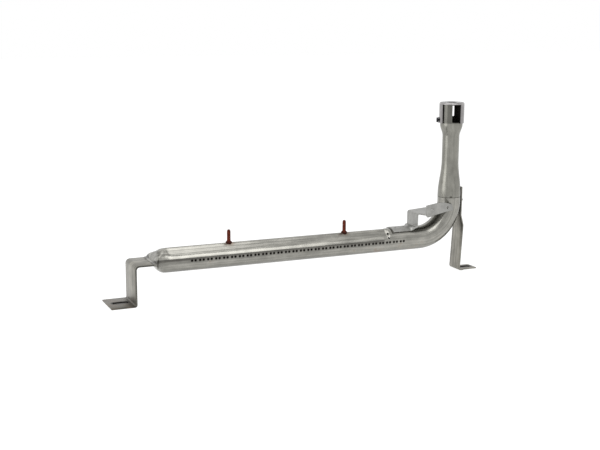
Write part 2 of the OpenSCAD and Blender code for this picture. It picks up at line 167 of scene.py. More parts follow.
class StrapSizes(bpy.types.PropertyGroup):
    """Sizes of the two strap brackets."""
    thickness: length("Thickness", 1.6, "Thickness of the straps")
    front_width: length("Front width", 42, "Width of the front strap")
    rear_width: length("Rear width", 23, "Width of the rear strap")
    rear_top_width: length("Rear top width", 12, "Width of the rear strap's narrow top")
    rear_toe_width: length("Rear toe width", 19.5, "Width of the rear foot beyond its step")
    top_bend: length("Top bend", 3.4, "Inner radius of the front strap's top bend")
    foot_bend: length("Foot bend", 1.4, "Inner radius of the bends at the feet")
    front_foot: length("Front foot", 27.6, "Length of the front foot")
    rear_foot: length("Rear foot", 26.8, "Length of the rear foot")
    rear_lean: length("Rear lean", 3.1, "How far the rear leg leans back")
    rear_top: length("Rear top", 106, "Height of the rear strap's top")
    rear_knee: length("Rear knee", 60, "Height where the rear strap starts to lean")
    rear_step: length("Rear step", 58, "Height where the rear strap has its full width")
    rear_slope: length("Rear slope", 12, "Height of the slope between its two widths")
    slot_length: length("Slot length", 18, "Length of a foot slot")
    slot_width: length("Slot width", 7, "Width of a foot slot")
    front_slot: length("Front slot", 12.4, "From the front leg's outer face to its slot's centre")
    rear_slot: length("Rear slot", 14.2, "From the rear leg's inner face to its slot's centre")


class StudSizes(bpy.types.PropertyGroup):
    """Sizes of the weld studs."""
    diameter: length("Diameter", 4.2, "Diameter of a stud")
    height: length("Height", 15.2, "Height of a stud's tip above the tube")
    collar_diameter: length("Collar diameter", 7.6, "Diameter of the weld collar")
    collar_height: length("Collar height", 1.6, "Height of the weld collar")
    start: length("Start", 116, "From the front leg's outer face to the front stud")
    spacing: length("Spacing", 147.4, "Spacing of the studs")


class ScrewSizes(bpy.types.PropertyGroup):
    """Sizes of the hex washer screws."""
    shank: length("Shank", 3.4, "Diameter over the thread")
    thread_pitch: length("Thread pitch", 1.0, "Pitch of the thread")
    flats: length("Flats", 5.5, "Width across the flats of the hex")
    washer: length("Washer", 7.2, "Diameter of the washer")
    washer_height: length("Washer height", 0.8, "Thickness of the washer")
    hex_height: length("Hex height", 2, "Height of the hex")
    rear_length: length("Rear length", 8, "Length of the rear bracket's screw")
    lock_length: length("Lock length", 1.5, "Length of the lock screw")
    lock_lift: length("Lock lift", 15.6, "From the upright's axis to the lock screw's washer")


class IgniterSizes(bpy.types.PropertyGroup):
    """Sizes of the igniter bracket."""
    thickness: length("Thickness", 1.5, "Thickness of the bracket")
    width: length("Width", 25, "Width of the riser")
    back: length("Back", 52, "From the riser to the upright's axis")
    saddle: length("Saddle", 31.5, "Length from the saddle's start to the riser")
    arch_end: length("Arch end", 7.5, "From the end of the arch to the riser")
    arch_turn: turn("Arch angle", 44, "Half angle of the saddle round the tube")
    lift: length("Lift", 18.2, "Height of the web above the tube")
    roll: turn("Roll", 0.5, "Sideways roll of the web")
    pitch: turn("Pitch", 4, "Upward pitch of the web")
    web: length("Web", 33, "Length of the web from the riser")
    flange_turn: turn("Flange turn", 10, "Turn of the flange towards the upright")
    flange: length("Flange", 43.5, "Length of the flange")
    flange_end: length("Flange end", 2.6, "From the flange's free end to the upright's axis")
    flange_side: length("Flange side", 15.8, "Distance of the free end in front of the upright's axis")
    flange_low: length("Flange low", 14, "Height of the flange's lower corner above the tube")
    flange_high: length("Flange high", 31, "Height of the flange's top above the tube")
    hole_diameter: length("Hole diameter", 3.4, "Diameter of the igniter screw holes")
    hole_spacing: length("Hole spacing", 25, "Spacing of the igniter screw holes")
    hole_end: length("Hole end", 9.5, "From the flange's free end to the nearer hole")
    hole_height: length("Hole height", 23.4, "Height of the igniter screw holes above the tube")


class Finishes(bpy.types.PropertyGroup):
    """Base colours of the finishes."""
    tube: colour("Tube", (0.335, 0.328, 0.298), "Rolled steel of the tube")
    venturi: colour("Venturi", (0.25, 0.246, 0.22), "Drawn steel of the venturi")
    shutter: colour("Shutter", (0.31, 0.30, 0.297), "Pressed steel of the shutter")
    strap: colour("Strap", (0.295, 0.284, 0.25), "Strap steel of the brackets")
    bracket: colour("Igniter bracket", (0.34, 0.338, 0.322), "Sheet steel of the igniter bracket")
    screw: colour("Screw", (0.03, 0.03, 0.032), "Black oxide of the screws")
    stud: colour("Stud", (0.11, 0.02, 0.009), "Heat tinted copper of the studs")
    tint: colour("Heat tint", (0.20, 0.14, 0.10), "Brown heat tint near the welds")
    # Dark colour for the seam's dirt, and for painted shade inside the sheet, along the crease and fold,
    # round the saddle and in the slots.
    grime_and_shade: colour("Grime", (0.035, 0.031, 0.027), "Dark film inside the sheet and in its corners")


class StageSettings(bpy.types.PropertyGroup):
    """Floor, lamps and camera."""
    floor: colour("Floor", (0.82, 0.82, 0.82), "Colour of the floor")
    lens: FloatProperty(name="Lens", description="Focal length of the camera", default=63.89,
                        unit="CAMERA", min=1.0)
    yaw: turn("Yaw", 24.138, "Turn of the camera from the burner's side towards its upright")
    pitch: turn("Pitch", 11.365, "Downward tilt of the camera")
    roll: turn("Roll", 0.352, "Roll of the camera")
    place: FloatVectorProperty(name="Place", description="Place of the camera", size=3,
                               default=(-0.50827, -1.12153, 0.31996), subtype="TRANSLATION",
                               unit="LENGTH")


SETTINGS = {
    "burner_tube_sizes": TubeSizes,
    "burner_venturi_sizes": VenturiSizes,
    "burner_shutter_sizes": ShutterSizes,
    "burner_strap_sizes": StrapSizes,
    "burner_stud_sizes": StudSizes,
    "burner_screw_sizes": ScrewSizes,
    "burner_igniter_sizes": IgniterSizes,
    "burner_finishes": Finishes,
    "burner_stage": StageSettings,
}


# ---------- mesh building ----------

def new_piece(name, bm, sharp=SHARP):
    """Object at the origin from a bmesh, smooth but for the edges sharper than that many degrees."""
    bmesh.ops.remove_doubles(bm, verts=bm.verts, dist=1e-7)
    bmesh.ops.recalc_face_normals(bm, faces=bm.faces)
    mesh = bpy.data.meshes.new(name)
    bm.to_mesh(mesh)
    bm.free()
    return link_mesh(name, mesh, sharp)


def link_mesh(name, mesh, sharp=SHARP):
    """Links a mesh to the scene as a piece, with smooth faces and sharp edges."""
    mesh.shade_smooth()
    mesh.set_sharp_from_angle(angle=math.radians(sharp))
    piece = bpy.data.objects.new(name, mesh)
    bpy.context.scene.collection.objects.link(piece)
    return piece


def add_rings(bm, rings, closed=False, caps=False):
    """Quads between rings of equally many points; caps close the first and the last ring."""
    made = [[bm.verts.new(p) for p in ring] for ring in rings]
    count = len(made[0])
    pairs = list(zip(made, made[1:]))
    if closed:
        pairs.append((made[-1], made[0]))
    for low, high in pairs:
        for i in range(count):
            j = (i + 1) % count
            bm.faces.new((low[i], low[j], high[j], high[i]))
    if caps:
        bm.faces.new(made[0][::-1])
        bm.faces.new(made[-1])


def level_ring(centre, radius, height, steps):
    """Level ring of points about a vertical axis."""
    turns = [math.tau * i / steps for i in range(steps)]
    return [Vector((centre[0] + radius * math.cos(a), centre[1] + radius * math.sin(a), height))
            for a in turns]


def lathe(bm, profile, centre, steps):
    """Revolves a closed profile of radius and height about a vertical axis."""
    rings = [level_ring(centre, radius, height, steps) for radius, height in profile]
    add_rings(bm, rings, closed=True)


def arc(centre, radius, start, end, steps):
    """Points of a plane arc, angles in degrees, both ends included."""
    return [(centre[0] + radius * math.cos(math.radians(start + (end - start) * i / steps)),
             centre[1] + radius * math.sin(math.radians(start + (end - start) * i / steps)))
            for i in range(steps + 1)]


def add_prism(bm, outline, direction):
    """Closed prism of a 3-D outline swept along a direction."""
    direction = Vector(direction)
    add_rings(bm, [outline, [p + direction for p in outline]], caps=True)


def placed(place, direction):
    """Matrix that turns the Z axis to a direction and moves it to a place."""
    return Matrix.Translation(place) @ Vector(direction).to_track_quat("Z", "Y").to_matrix().to_4x4()


def add_cylinder(bm, centre, direction, radius, depth):
    """Closed cylinder about a centre, along a direction."""
    bmesh.ops.create_cone(bm, cap_ends=True, segments=BORE_SIDES, radius1=radius, radius2=radius,
                          depth=depth, matrix=placed(centre, direction))


def add_screw_bore(bm, x, depth):
    """Cutter of the rear bracket screw's bore, about a place on its axis."""
    add_cylinder(bm, (x, 0, SCREW_Z), (1, 0, 0), SCREW_BORE_RADIUS, depth)


def cut(piece, cutter):
    """The piece less the cutter's closed shapes, as a new plain mesh under the same name."""
    bmesh.ops.recalc_face_normals(cutter, faces=cutter.faces)
    mesh = bpy.data.meshes.new("cutter")
    cutter.to_mesh(mesh)
    cutter.free()
    tool = bpy.data.objects.new("cutter", mesh)
    bpy.context.scene.collection.objects.link(tool)
    modifier = piece.modifiers.new("Cut", "BOOLEAN")
    modifier.operation = "DIFFERENCE"
    modifier.solver = "EXACT"
    modifier.use_self = True
    modifier.object = tool
    return applied(piece, [tool])


def applied(piece, helpers=(), sharp=SHARP):
    """The evaluated piece as a plain mesh under the same name, without its modifiers and helpers."""
    name = piece.name
    graph = bpy.context.evaluated_depsgraph_get()
    mesh = bpy.data.meshes.new_from_object(piece.evaluated_get(graph))
    for helper in (piece, *helpers):
        bpy.data.objects.remove(helper)
    mesh.name = name
    return link_mesh(name, mesh, sharp)


def joined(name, parts):
    """One piece from several plain ones."""
    bm = bmesh.new()
    for part in parts:
        bm.from_mesh(part.data)
        bpy.data.objects.remove(part)
    mesh = bpy.data.meshes.new(name)
    bm.to_mesh(mesh)
    bm.free()
    return link_mesh(name, mesh)


def soften(piece, width, limit):
    """Rounds the edges that are sharper than the limit in degrees."""
    bevel = piece.modifiers.new("Rounded edges", "BEVEL")
    bevel.width = width
    bevel.segments = ROUNDING_STEPS
    bevel.limit_method = "ANGLE"
    bevel.angle_limit = math.radians(limit)
    bevel.harden_normals = True
    bevel.use_clamp_overlap = True


def hand_over(piece, body, node, material):
    """Gives a finished piece its material in a slot and its body, and hides the CAD node it stands for.
    """
    piece.data.materials.clear()
    piece.data.materials.append(material)
    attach(piece, body)
    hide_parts(node)


# ---------- node trees ----------

def tree_input(tree, name, kind, default=None):
    """Adds a named input to a node tree."""
    socket = tree.interface.new_socket(name, in_out="INPUT", socket_type=kind)
    if default is not None:
        socket.default_value = default


def tree_output(tree, name, kind="NodeSocketFloat"):
    """Adds a named output to a node tree."""
    tree.interface.new_socket(name, in_out="OUTPUT", socket_type=kind)


def feed(tree, socket, value):
    """Links an input to an output socket, or sets it to a value."""
    if isinstance(value, bpy.types.NodeSocket):
        tree.links.new(value, socket)
    else:
        socket.default_value = value


def add_node(tree, kind, inputs=None, **settings):
    """A node with its settings, its inputs linked to output sockets or set to values."""
    node = tree.nodes.new(kind)
    for name, value in settings.items():
        setattr(node, name, value)
    for name, value in (inputs or {}).items():
        feed(tree, node.inputs[name], value)
    return node


def math_node(tree, operation, *values):
    """Result of a Math node whose values are numbers or output sockets."""
    node = add_node(tree, "ShaderNodeMath", dict(enumerate(values)), operation=operation)
    return node.outputs[0]


def grain_group():
    """Shader node group of drawn steel: streaks along one direction, broad stains and fine specks."""
    if "Drawn grain" in bpy.data.node_groups:
        return bpy.data.node_groups["Drawn grain"]
    tree = bpy.data.node_groups.new("Drawn grain", "ShaderNodeTree")
    tree_input(tree, "Vector", "NodeSocketVector")
    tree_input(tree, "Streak scale", "NodeSocketVector", (20.0, 900.0, 900.0))
    tree_input(tree, "Stain scale", "NodeSocketFloat", 60.0)
    for name in ("Streaks", "Stains", "Specks"):
        tree_output(tree, name)
    value = tree.nodes.new("NodeGroupInput").outputs
    end = tree.nodes.new("NodeGroupOutput")
    stretched = add_node(tree, "ShaderNodeVectorMath",
                         {0: value["Vector"], 1: value["Streak scale"]}, operation="MULTIPLY")
    textures = {
        "Streaks": {"Vector": stretched.outputs[0], "Scale": 1.0, "Detail": 4.0, "Roughness": 0.6},
        "Stains": {"Vector": value["Vector"], "Scale": value["Stain scale"], "Detail": 5.0,
                   "Roughness": 0.62},
        "Specks": {"Vector": value["Vector"], "Scale": 700.0, "Detail": 2.0},
    }
    for name, inputs in textures.items():
        texture = add_node(tree, "ShaderNodeTexNoise", inputs)
        tree.links.new(texture.outputs["Fac"], end.inputs[name])
    return tree


def band_group():
    """Shader node group of one soft band of a value: 1 at its centre and 0 beyond its width."""
    if "Soft band" in bpy.data.node_groups:
        return bpy.data.node_groups["Soft band"]
    tree = bpy.data.node_groups.new("Soft band", "ShaderNodeTree")
    for name in ("Value", "Centre", "Width"):
        tree_input(tree, name, "NodeSocketFloat", 1.0)
    tree_output(tree, "Mask")
    value = tree.nodes.new("NodeGroupInput").outputs
    end = tree.nodes.new("NodeGroupOutput")
    offset = math_node(tree, "SUBTRACT", value["Value"], value["Centre"])
    ratio = math_node(tree, "DIVIDE", math_node(tree, "ABSOLUTE", offset), value["Width"])
    ramp = add_node(tree, "ShaderNodeMapRange", {"Value": ratio, "To Min": 1.0, "To Max": 0.0},
                    interpolation_type="SMOOTHSTEP")
    tree.links.new(ramp.outputs["Result"], end.inputs["Mask"])
    return tree


class Steel:
    """A metal finish: a base colour, grain from the shared group, and tones mixed over it."""

    RELIEF = 0.02 * MM
    RELIEF_STRENGTH = 0.5
    SPECK_SHARE = 0.5
    SMOOTHER, ROUGHER = 0.06, 0.08

    def __init__(self, name, base, streak_scale, stain_scale, roughness, metallic=1.0,
                 attribute=None):
        self.material = bpy.data.materials.new(name)
        self.material.use_nodes = True
        self.material.diffuse_color = (*base, 1.0)
        self.tree = self.material.node_tree
        self.shader = self.tree.nodes["Principled BSDF"]
        self.shader.inputs["Metallic"].default_value = metallic
        if attribute:
            stored = self.node("ShaderNodeAttribute", attribute_name=attribute)
            self.place = stored.outputs["Vector"]
        else:
            self.place = self.node("ShaderNodeTexCoord").outputs["Object"]
        grain = self.node("ShaderNodeGroup", {
            "Vector": self.place, "Streak scale": streak_scale, "Stain scale": stain_scale},
            node_tree=grain_group())
        self.streaks, self.stains, self.specks = grain.outputs
        self.x, self.y, self.z = self.node("ShaderNodeSeparateXYZ", {0: self.place}).outputs
        self.colour = self.tree.nodes.new("ShaderNodeRGB").outputs[0]
        self.colour.default_value = (*base, 1.0)
        self.rough = self.ramp(self.streaks, (0.3, 0.7),
                               (roughness - self.SMOOTHER, roughness + self.ROUGHER))

    def node(self, kind, inputs=None, **settings):
        """A node in the material's tree."""
        return add_node(self.tree, kind, inputs, **settings)

    def attribute(self, name):
        """A number stored on the mesh."""
        return self.node("ShaderNodeAttribute", attribute_name=name).outputs["Fac"]

    def ramp(self, value, span, out=(0.0, 1.0)):
        """Maps a span of a value to an output span, smoothly and clamped."""
        names = ("From Min", "From Max", "To Min", "To Max")
        inputs = {"Value": value, **dict(zip(names, (*span, *out)))}
        node = self.node("ShaderNodeMapRange", inputs, interpolation_type="SMOOTHSTEP")
        return node.outputs["Result"]

    def band(self, value, centre, width):
        """Mask of a soft band of a value."""
        inputs = {"Value": value, "Centre": centre, "Width": width}
        return self.node("ShaderNodeGroup", inputs, node_tree=band_group()).outputs["Mask"]

    def spot(self, centre, reach):
        """Soft round mask about a place, gone at the reach."""
        away = self.node("ShaderNodeVectorMath", {0: self.place, 1: centre}, operation="DISTANCE")
        return self.ramp(away.outputs["Value"], (reach, reach * 0.4))

    def port_rims(self, sizes):
        """Mask of dark rings round the ports of both rows."""
        first = FRONT_X + sizes.port_start
        offsets = []
        half = sizes.port_pitch / 2
        for shift in (0.0, sizes.port_gap):
            run = math_node(self.tree, "SUBTRACT", self.x, first + shift)
            wrapped = math_node(self.tree, "WRAP", run, half, -half)
            offsets.append(math_node(self.tree, "ABSOLUTE", wrapped))
        near = math_node(self.tree, "MINIMUM", *offsets)
        squares = math_node(self.tree, "ADD", self.times(near, near), self.times(self.z, self.z))
        ring = self.ramp(math_node(self.tree, "SQRT", squares), (2.05 * MM, 1.3 * MM))
        last = first + sizes.port_pitch * sizes.port_pairs
        ring = self.times(ring, self.ramp(self.x, (first - 3 * MM, first - 2 * MM)))
        return self.times(ring, self.ramp(self.x, (last - 1 * MM, last - 2.5 * MM)))

    def times(self, a, b):
        """Product of two masks or numbers."""
        return math_node(self.tree, "MULTIPLY", a, b)

    def tone(self, mask, paint, amount):
        """Lays a colour over what is there, by a mask and an amount."""
        inputs = {"Factor": self.times(mask, amount), "A": self.colour, "B": (*paint, 1.0)}
        self.colour = self.node("ShaderNodeMix", inputs, data_type="RGBA").outputs["Result"]

    def shade(self, value, span, low, high):
        """Multiplies the colour by a grey from low to high over a span of a value."""
        inputs = {0: self.colour, "Scale": self.ramp(value, span, (low, high))}
        self.colour = self.node("ShaderNodeVectorMath", inputs, operation="SCALE").outputs["Vector"]

    def dim(self, mask, amount):
        """Multiplies the colour by an amount where a mask is 1; over 1 it brightens."""
        self.shade(mask, (0.0, 1.0), 1.0, amount)

    def line(self, value, mark, where):
        """Dims a soft band of a value, its mark being centre, width and amount, where a mask is 1."""
        centre, width, amount = mark
        self.dim(self.times(self.band(value, centre, width), where), amount)

    def rougher(self, mask, amount):
        """Adds to the roughness by a mask."""
        self.rough = math_node(self.tree, "ADD", self.rough, self.times(mask, amount))

    def paint_inside_shade(self, grime_and_shade):
        """Painted shade: a dark colour and more roughness on the faces that look into the sheet's
        inside.
        """
        self.tone(self.attribute("inside"), grime_and_shade, 0.95)
        self.rougher(self.attribute("inside"), 0.4)

    def finish(self):
        """Links the colour, roughness and bump to the shader."""
        height = math_node(self.tree, "ADD", self.streaks, self.times(self.specks, self.SPECK_SHARE))
        relief = self.node("ShaderNodeBump", {
            "Strength": self.RELIEF_STRENGTH, "Distance": self.RELIEF, "Height": height})
        self.tree.links.new(relief.outputs["Normal"], self.shader.inputs["Normal"])
        self.tree.links.new(self.colour, self.shader.inputs["Base Color"])
        self.tree.links.new(self.rough, self.shader.inputs["Roughness"])
        return self.material


def geometry_tree(name, inputs):
    """A geometry node tree with a Geometry input and output and the named inputs."""
    tree = bpy.data.node_groups.new(name, "GeometryNodeTree")
    tree.is_modifier = True
    tree_input(tree, "Geometry", "NodeSocketGeometry")
    for key, kind in inputs.items():
        tree_input(tree, key, kind)
    tree_output(tree, "Geometry", "NodeSocketGeometry")
    return tree, tree.nodes.new("NodeGroupInput"), tree.nodes.new("NodeGroupOutput")


def vector_of(tree, x=0.0, y=0.0, z=0.0):
    """A vector whose parts are numbers or output sockets."""
    return add_node(tree, "ShaderNodeCombineXYZ", {"X": x, "Y": y, "Z": z}).outputs[0]


def raised(tree, geometry, height):
    """The geometry raised by a height."""
    inputs = {"Geometry": geometry, "Translation": vector_of(tree, z=height)}
    return add_node(tree, "GeometryNodeTransform", inputs).outputs["Geometry"]


def close_tree(tree, geometry, start, end):
    """Ends a tree in Realize Instances and Set Material."""
    real = add_node(tree, "GeometryNodeRealizeInstances", {"Geometry": geometry})
    paint = add_node(tree, "GeometryNodeSetMaterial", {
        "Geometry": real.outputs["Geometry"], "Material": start.outputs["Material"]})
    tree.links.new(paint.outputs["Geometry"], end.inputs["Geometry"])


def grow(piece, tree, values, sharp=SHARP):
    """Runs a geometry node tree on a piece and keeps the result as its plain mesh."""
    modifier = piece.modifiers.new(tree.name, "NODES")
    modifier.node_group = tree
    for socket in tree.interface.items_tree:
        if socket.in_out == "INPUT" and socket.name in values:
            modifier[socket.identifier] = values[socket.name]
    return applied(piece, sharp=sharp)


def port_tree():
    """Drills pairs of ports in a row along X, right through both sides."""
    tree, start, end = geometry_tree("Gas ports", {
        "Pairs": "NodeSocketInt", "Pitch": "NodeSocketFloat", "Gap": "NodeSocketFloat",
        "Diameter": "NodeSocketFloat", "Depth": "NodeSocketFloat", "First port": "NodeSocketVector",
        "Material": "NodeSocketMaterial"})
    value = start.outputs
    rows = tree.nodes.new("GeometryNodeJoinGeometry")
    for step in (0.0, 1.0):
        shift = vector_of(tree, math_node(tree, "MULTIPLY", value["Gap"], step))
        place = add_node(tree, "ShaderNodeVectorMath", {0: value["First port"], 1: shift})
        line = add_node(tree, "GeometryNodeMeshLine", {
            "Count": value["Pairs"], "Start Location": place.outputs[0],
            "Offset": vector_of(tree, value["Pitch"])})
        tree.links.new(line.outputs["Mesh"], rows.inputs["Geometry"])
    drill = add_node(tree, "GeometryNodeMeshCylinder", {
        "Vertices": PORT_SIDES, "Radius": math_node(tree, "MULTIPLY", value["Diameter"], 0.5),
        "Depth": value["Depth"]})
    spread = add_node(tree, "GeometryNodeInstanceOnPoints", {
        "Points": rows.outputs["Geometry"], "Instance": drill.outputs["Mesh"],
        "Rotation": (math.pi / 2, 0.0, 0.0)})
    drills = add_node(tree, "GeometryNodeRealizeInstances", {"Geometry": spread.outputs["Instances"]})
    bore = add_node(tree, "GeometryNodeMeshBoolean", {
        "Mesh 1": value["Geometry"], "Mesh 2": drills.outputs["Geometry"]},
        operation="DIFFERENCE", solver="EXACT")
    close_tree(tree, bore.outputs["Mesh"], start, end)
    return tree


def thread_tree():
    """Adds a screw's threaded shank along -Z to its head."""
    tree, start, end = geometry_tree("Screw thread", {
        "Length": "NodeSocketFloat", "Diameter": "NodeSocketFloat", "Pitch": "NodeSocketFloat",
        "Material": "NodeSocketMaterial"})
    value = start.outputs
    depth = math_node(tree, "MULTIPLY", value["Pitch"], 0.5)
    outer = math_node(tree, "MULTIPLY", value["Diameter"], 0.5)
    root = math_node(tree, "SUBTRACT", outer, depth)
    shank = add_node(tree, "GeometryNodeMeshCylinder", {
        "Vertices": SHANK_SIDES, "Radius": root, "Depth": value["Length"]})
    core = raised(tree, shank.outputs["Mesh"], math_node(tree, "MULTIPLY", value["Length"], -0.5))
    run = math_node(tree, "SUBTRACT", value["Length"], value["Pitch"])
    half_depth = math_node(tree, "MULTIPLY", depth, 0.5)
    middle = math_node(tree, "SUBTRACT", outer, half_depth)
    coil = add_node(tree, "GeometryNodeCurveSpiral", {
        "Resolution": COIL_STEPS, "Rotations": math_node(tree, "DIVIDE", run, value["Pitch"]),
        "Start Radius": middle, "End Radius": middle, "Height": run})
    ridge = add_node(tree, "GeometryNodeCurvePrimitiveCircle", {
        "Resolution": RIDGE_SIDES, "Radius": half_depth})
    sweep = add_node(tree, "GeometryNodeCurveToMesh", {
        "Curve": coil.outputs["Curve"], "Profile Curve": ridge.outputs["Curve"], "Fill Caps": True})
    thread = raised(tree, sweep.outputs["Mesh"], math_node(tree, "SUBTRACT", depth, value["Length"]))
    whole = tree.nodes.new("GeometryNodeJoinGeometry")
    for source in (value["Geometry"], core, thread):
        tree.links.new(source, whole.inputs["Geometry"])
    close_tree(tree, whole.outputs["Geometry"], start, end)
    return tree


# ---------- finishes ----------

# Streak scales: the smallest is the direction that the streaks run in.
ALONG_TUBE = (24.0, 480.0, 480.0)
UP_VENTURI = (420.0, 420.0, 18.0)
UP_SHUTTER = (500.0, 500.0, 40.0)
ALONG_STRAP = (9.0, 230.0, 9.0)
ALONG_BRACKET = (60.0, 420.0, 60.0)

# Marks along the tube: rise over its axis in degrees, width, and what they multiply the colour by.
# A painted highlight along the rolled edge over the crease.
EDGE_HIGHLIGHT = (24.0, 10.0, 1.2)
DRAWN_LINES = ((39.0, 5.5, 0.44), (63.0, 5.0, 0.66))
# A painted highlight along the crown.
CROWN_HIGHLIGHT = (72.0, 5.0, 1.25)
# Painted shade below the crease and along its line.
UNDER_CREASE_SHADE = (-4.0, 13.0, 0.74)
CREASE_SHADE = (12.0, 4.5, 0.5)


def shared(name, make, *values):
    """The material of that name, made at its first use."""
    return bpy.data.materials.get(name) or make(*values)


def tube_finish(colours, sizes):
    """Rolled tube: drawn lines, rust, heat tint, painted highlights, and painted shade under it, in its
    crease, round the saddle and inside.
    """
    steel = Steel("tube steel", colours.tube, ALONG_TUBE, 70.0, 0.23, attribute="skin")
    rise = steel.attribute("rise")
    pressed_end = FRONT_X + 313 * MM
    pressed = steel.ramp(steel.x, (pressed_end, pressed_end - 3 * MM))
    steel.shade(steel.streaks, (0.28, 0.72), 0.74, 1.16)
    steel.shade(steel.stains, (0.35, 0.7), 0.86, 1.1)
    # Painted shade: darker towards the underside.
    steel.shade(rise, (-66.0, -24.0), 0.56, 0.94)
    # Painted highlight along the rolled edge.
    steel.line(rise, EDGE_HIGHLIGHT, pressed)
    front_half = steel.ramp(steel.x, (0.0, -90 * MM))
    broken = steel.times(front_half, steel.ramp(steel.streaks, (0.25, 0.6)))
    for mark in DRAWN_LINES:
        steel.line(rise, mark, broken)
    # Painted highlight along the crown towards the closed end.
    steel.line(rise, CROWN_HIGHLIGHT, steel.ramp(steel.x, (30 * MM, -30 * MM)))
    # Painted shade along the crease.
    crease = steel.times(steel.band(rise, 7.0, 8.5), pressed)
    steel.tone(crease, colours.grime_and_shade, 0.54)
    steel.line(rise, UNDER_CREASE_SHADE, pressed)
    steel.line(rise, CREASE_SHADE, pressed)
    # Painted shade in the fold where the neck meets the round tube.
    fold = steel.times(steel.band(steel.x, -180.5 * MM, 2.6 * MM), steel.ramp(rise, (10.0, 40.0)))
    steel.tone(fold, colours.grime_and_shade, 0.4)
    # Deeper painted shade along the crease towards the neck.
    by_neck = steel.ramp(steel.x, (-122 * MM, -136 * MM))
    steel.tone(steel.times(crease, by_neck), colours.grime_and_shade, 0.3)
    rust = steel.times(steel.ramp(steel.stains, (0.58, 0.72)), steel.ramp(rise, (0.0, -14.0)))
    steel.tone(rust, colours.tint, 0.5)
    for stud in ("front_stud", "rear_stud"):
        low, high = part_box(stud)
        burnt = steel.spot(((low.x + high.x) / 2, 0.0, 14 * MM), 8.5 * MM)
        steel.tone(burnt, colours.tint, 0.55)
    steel.tone(steel.port_rims(sizes), colours.grime_and_shade, 0.8)
    add_saddle_shadow(steel, rise, colours.grime_and_shade)
    steel.paint_inside_shade(colours.grime_and_shade)
    return steel.finish()


def add_saddle_shadow(steel, rise, grime_and_shade):
    """Painted shadow on the tube along the sides and the front edge of the igniter bracket's saddle."""
    edge = 113.4 * MM
    beside = steel.times(steel.ramp(steel.x, (edge - 1 * MM, edge)),
                         steel.ramp(steel.x, (160 * MM, 152 * MM)))
    steel.tone(steel.times(beside, steel.band(rise, 43.8, 3.4)), grime_and_shade, 0.9)
    ahead = steel.times(steel.band(steel.x, edge, 1.5 * MM), steel.ramp(rise, (38.0, 45.0)))
    steel.tone(ahead, grime_and_shade, 0.9)


def venturi_finish(colours):
    """Drawn venturi: streaks along the upright, a dark line at its seam, and painted shade on the mixer
    head and inside.
    """
    steel = Steel("venturi steel", colours.venturi, UP_VENTURI, 60.0, 0.27)
    steel.shade(steel.streaks, (0.25, 0.75), 0.84, 1.14)
    steel.shade(steel.stains, (0.35, 0.7), 0.86, 1.08)
    # Painted shade: the mixer head within the shutter at half brightness.
    steel.shade(steel.z, (CAP_LOW - 1 * MM, CAP_LOW + 1 * MM), 1.0, 0.5)
    steel.tone(steel.band(steel.z, SEAM_Z + 0.3 * MM, 0.8 * MM), colours.grime_and_shade, 0.5)
    dimple = steel.spot((192.6 * MM, -13.3 * MM, SEAM_Z + 1 * MM), 2.2 * MM)
    steel.tone(dimple, colours.grime_and_shade, 0.7)
    steel.paint_inside_shade(colours.grime_and_shade)
    return steel.finish()


def shutter_finish(colours):
    """Pressed shutter: fine upright streaks, a painted highlight on its rim, and painted shade on its
    top face and inside.
    """
    steel = Steel("shutter steel", colours.shutter, UP_SHUTTER, 90.0, 0.28)
    steel.shade(steel.streaks, (0.25, 0.75), 0.84, 1.14)
    steel.shade(steel.stains, (0.35, 0.7), 0.9, 1.08)
    # Painted highlight on the rounded rim, painted shade on the top face.
    steel.shade(steel.z, (CAP_TOP - 3 * MM, CAP_TOP - 1.5 * MM), 1.0, 1.3)
    steel.shade(steel.z, (CAP_TOP - 0.9 * MM, CAP_TOP - 0.2 * MM), 1.0, 0.5)
    steel.paint_inside_shade(colours.grime_and_shade)
    return steel.finish()


def strap_finish(colours, sizes):
    """Strap steel: streaks along the strap, darker edges and bends, some rust, and painted shade in the
    slots and on the front foot.
    """
    steel = Steel("strap steel", colours.strap, ALONG_STRAP, 80.0, 0.4)
    steel.shade(steel.streaks, (0.38, 0.62), 0.64, 1.2)
    steel.shade(steel.stains, (0.35, 0.7), 0.84, 1.1)
    across = math_node(steel.tree, "ABSOLUTE", steel.y)
    front = steel.ramp(steel.x, (10 * MM, 0.0))
    rear = steel.ramp(steel.x, (0.0, 10 * MM))
    steel.dim(steel.times(front, steel.ramp(across, (17.0 * MM, 20.0 * MM))), 0.52)
    steel.dim(steel.times(rear, steel.ramp(across, (8.5 * MM, 11.2 * MM))), 0.74)
    low_bend = steel.times(front, steel.ramp(steel.z, (9 * MM, 2 * MM)))
    low_bend = steel.times(low_bend, steel.ramp(steel.x, (FRONT_X - 7 * MM, FRONT_X - 3 * MM)))
    steel.tone(steel.times(low_bend, steel.ramp(steel.stains, (0.3, 0.6))), colours.grime_and_shade, 0.5)
    rust = steel.times(steel.times(front, steel.ramp(steel.z, (14 * MM, 3 * MM))),
                       steel.ramp(steel.stains, (0.42, 0.6)))
    steel.tone(rust, colours.tint, 0.35)
    # Painted shade in and round the foot slots.
    for place in (FRONT_X - sizes.front_slot, REAR_X - sizes.rear_lean + sizes.rear_slot):
        slot = steel.times(steel.band(steel.x, place, 13 * MM), steel.band(across, 0.0, 7.4 * MM))
        steel.tone(steel.ramp(slot, (0.02, 0.12)), colours.grime_and_shade, 0.9)
    # Painted shade: the front foot darker than the leg.
    steel.dim(steel.times(front, steel.ramp(steel.z, (3 * MM, 2 * MM))), 0.72)
    return steel.finish()


def bracket_finish(colours):
    """Sheet steel of the igniter bracket: fine streaks and stains."""
    steel = Steel("bracket steel", colours.bracket, ALONG_BRACKET, 90.0, 0.38)
    steel.shade(steel.streaks, (0.25, 0.75), 0.84, 1.12)
    steel.shade(steel.stains, (0.35, 0.7), 0.86, 1.08)
    return steel.finish()


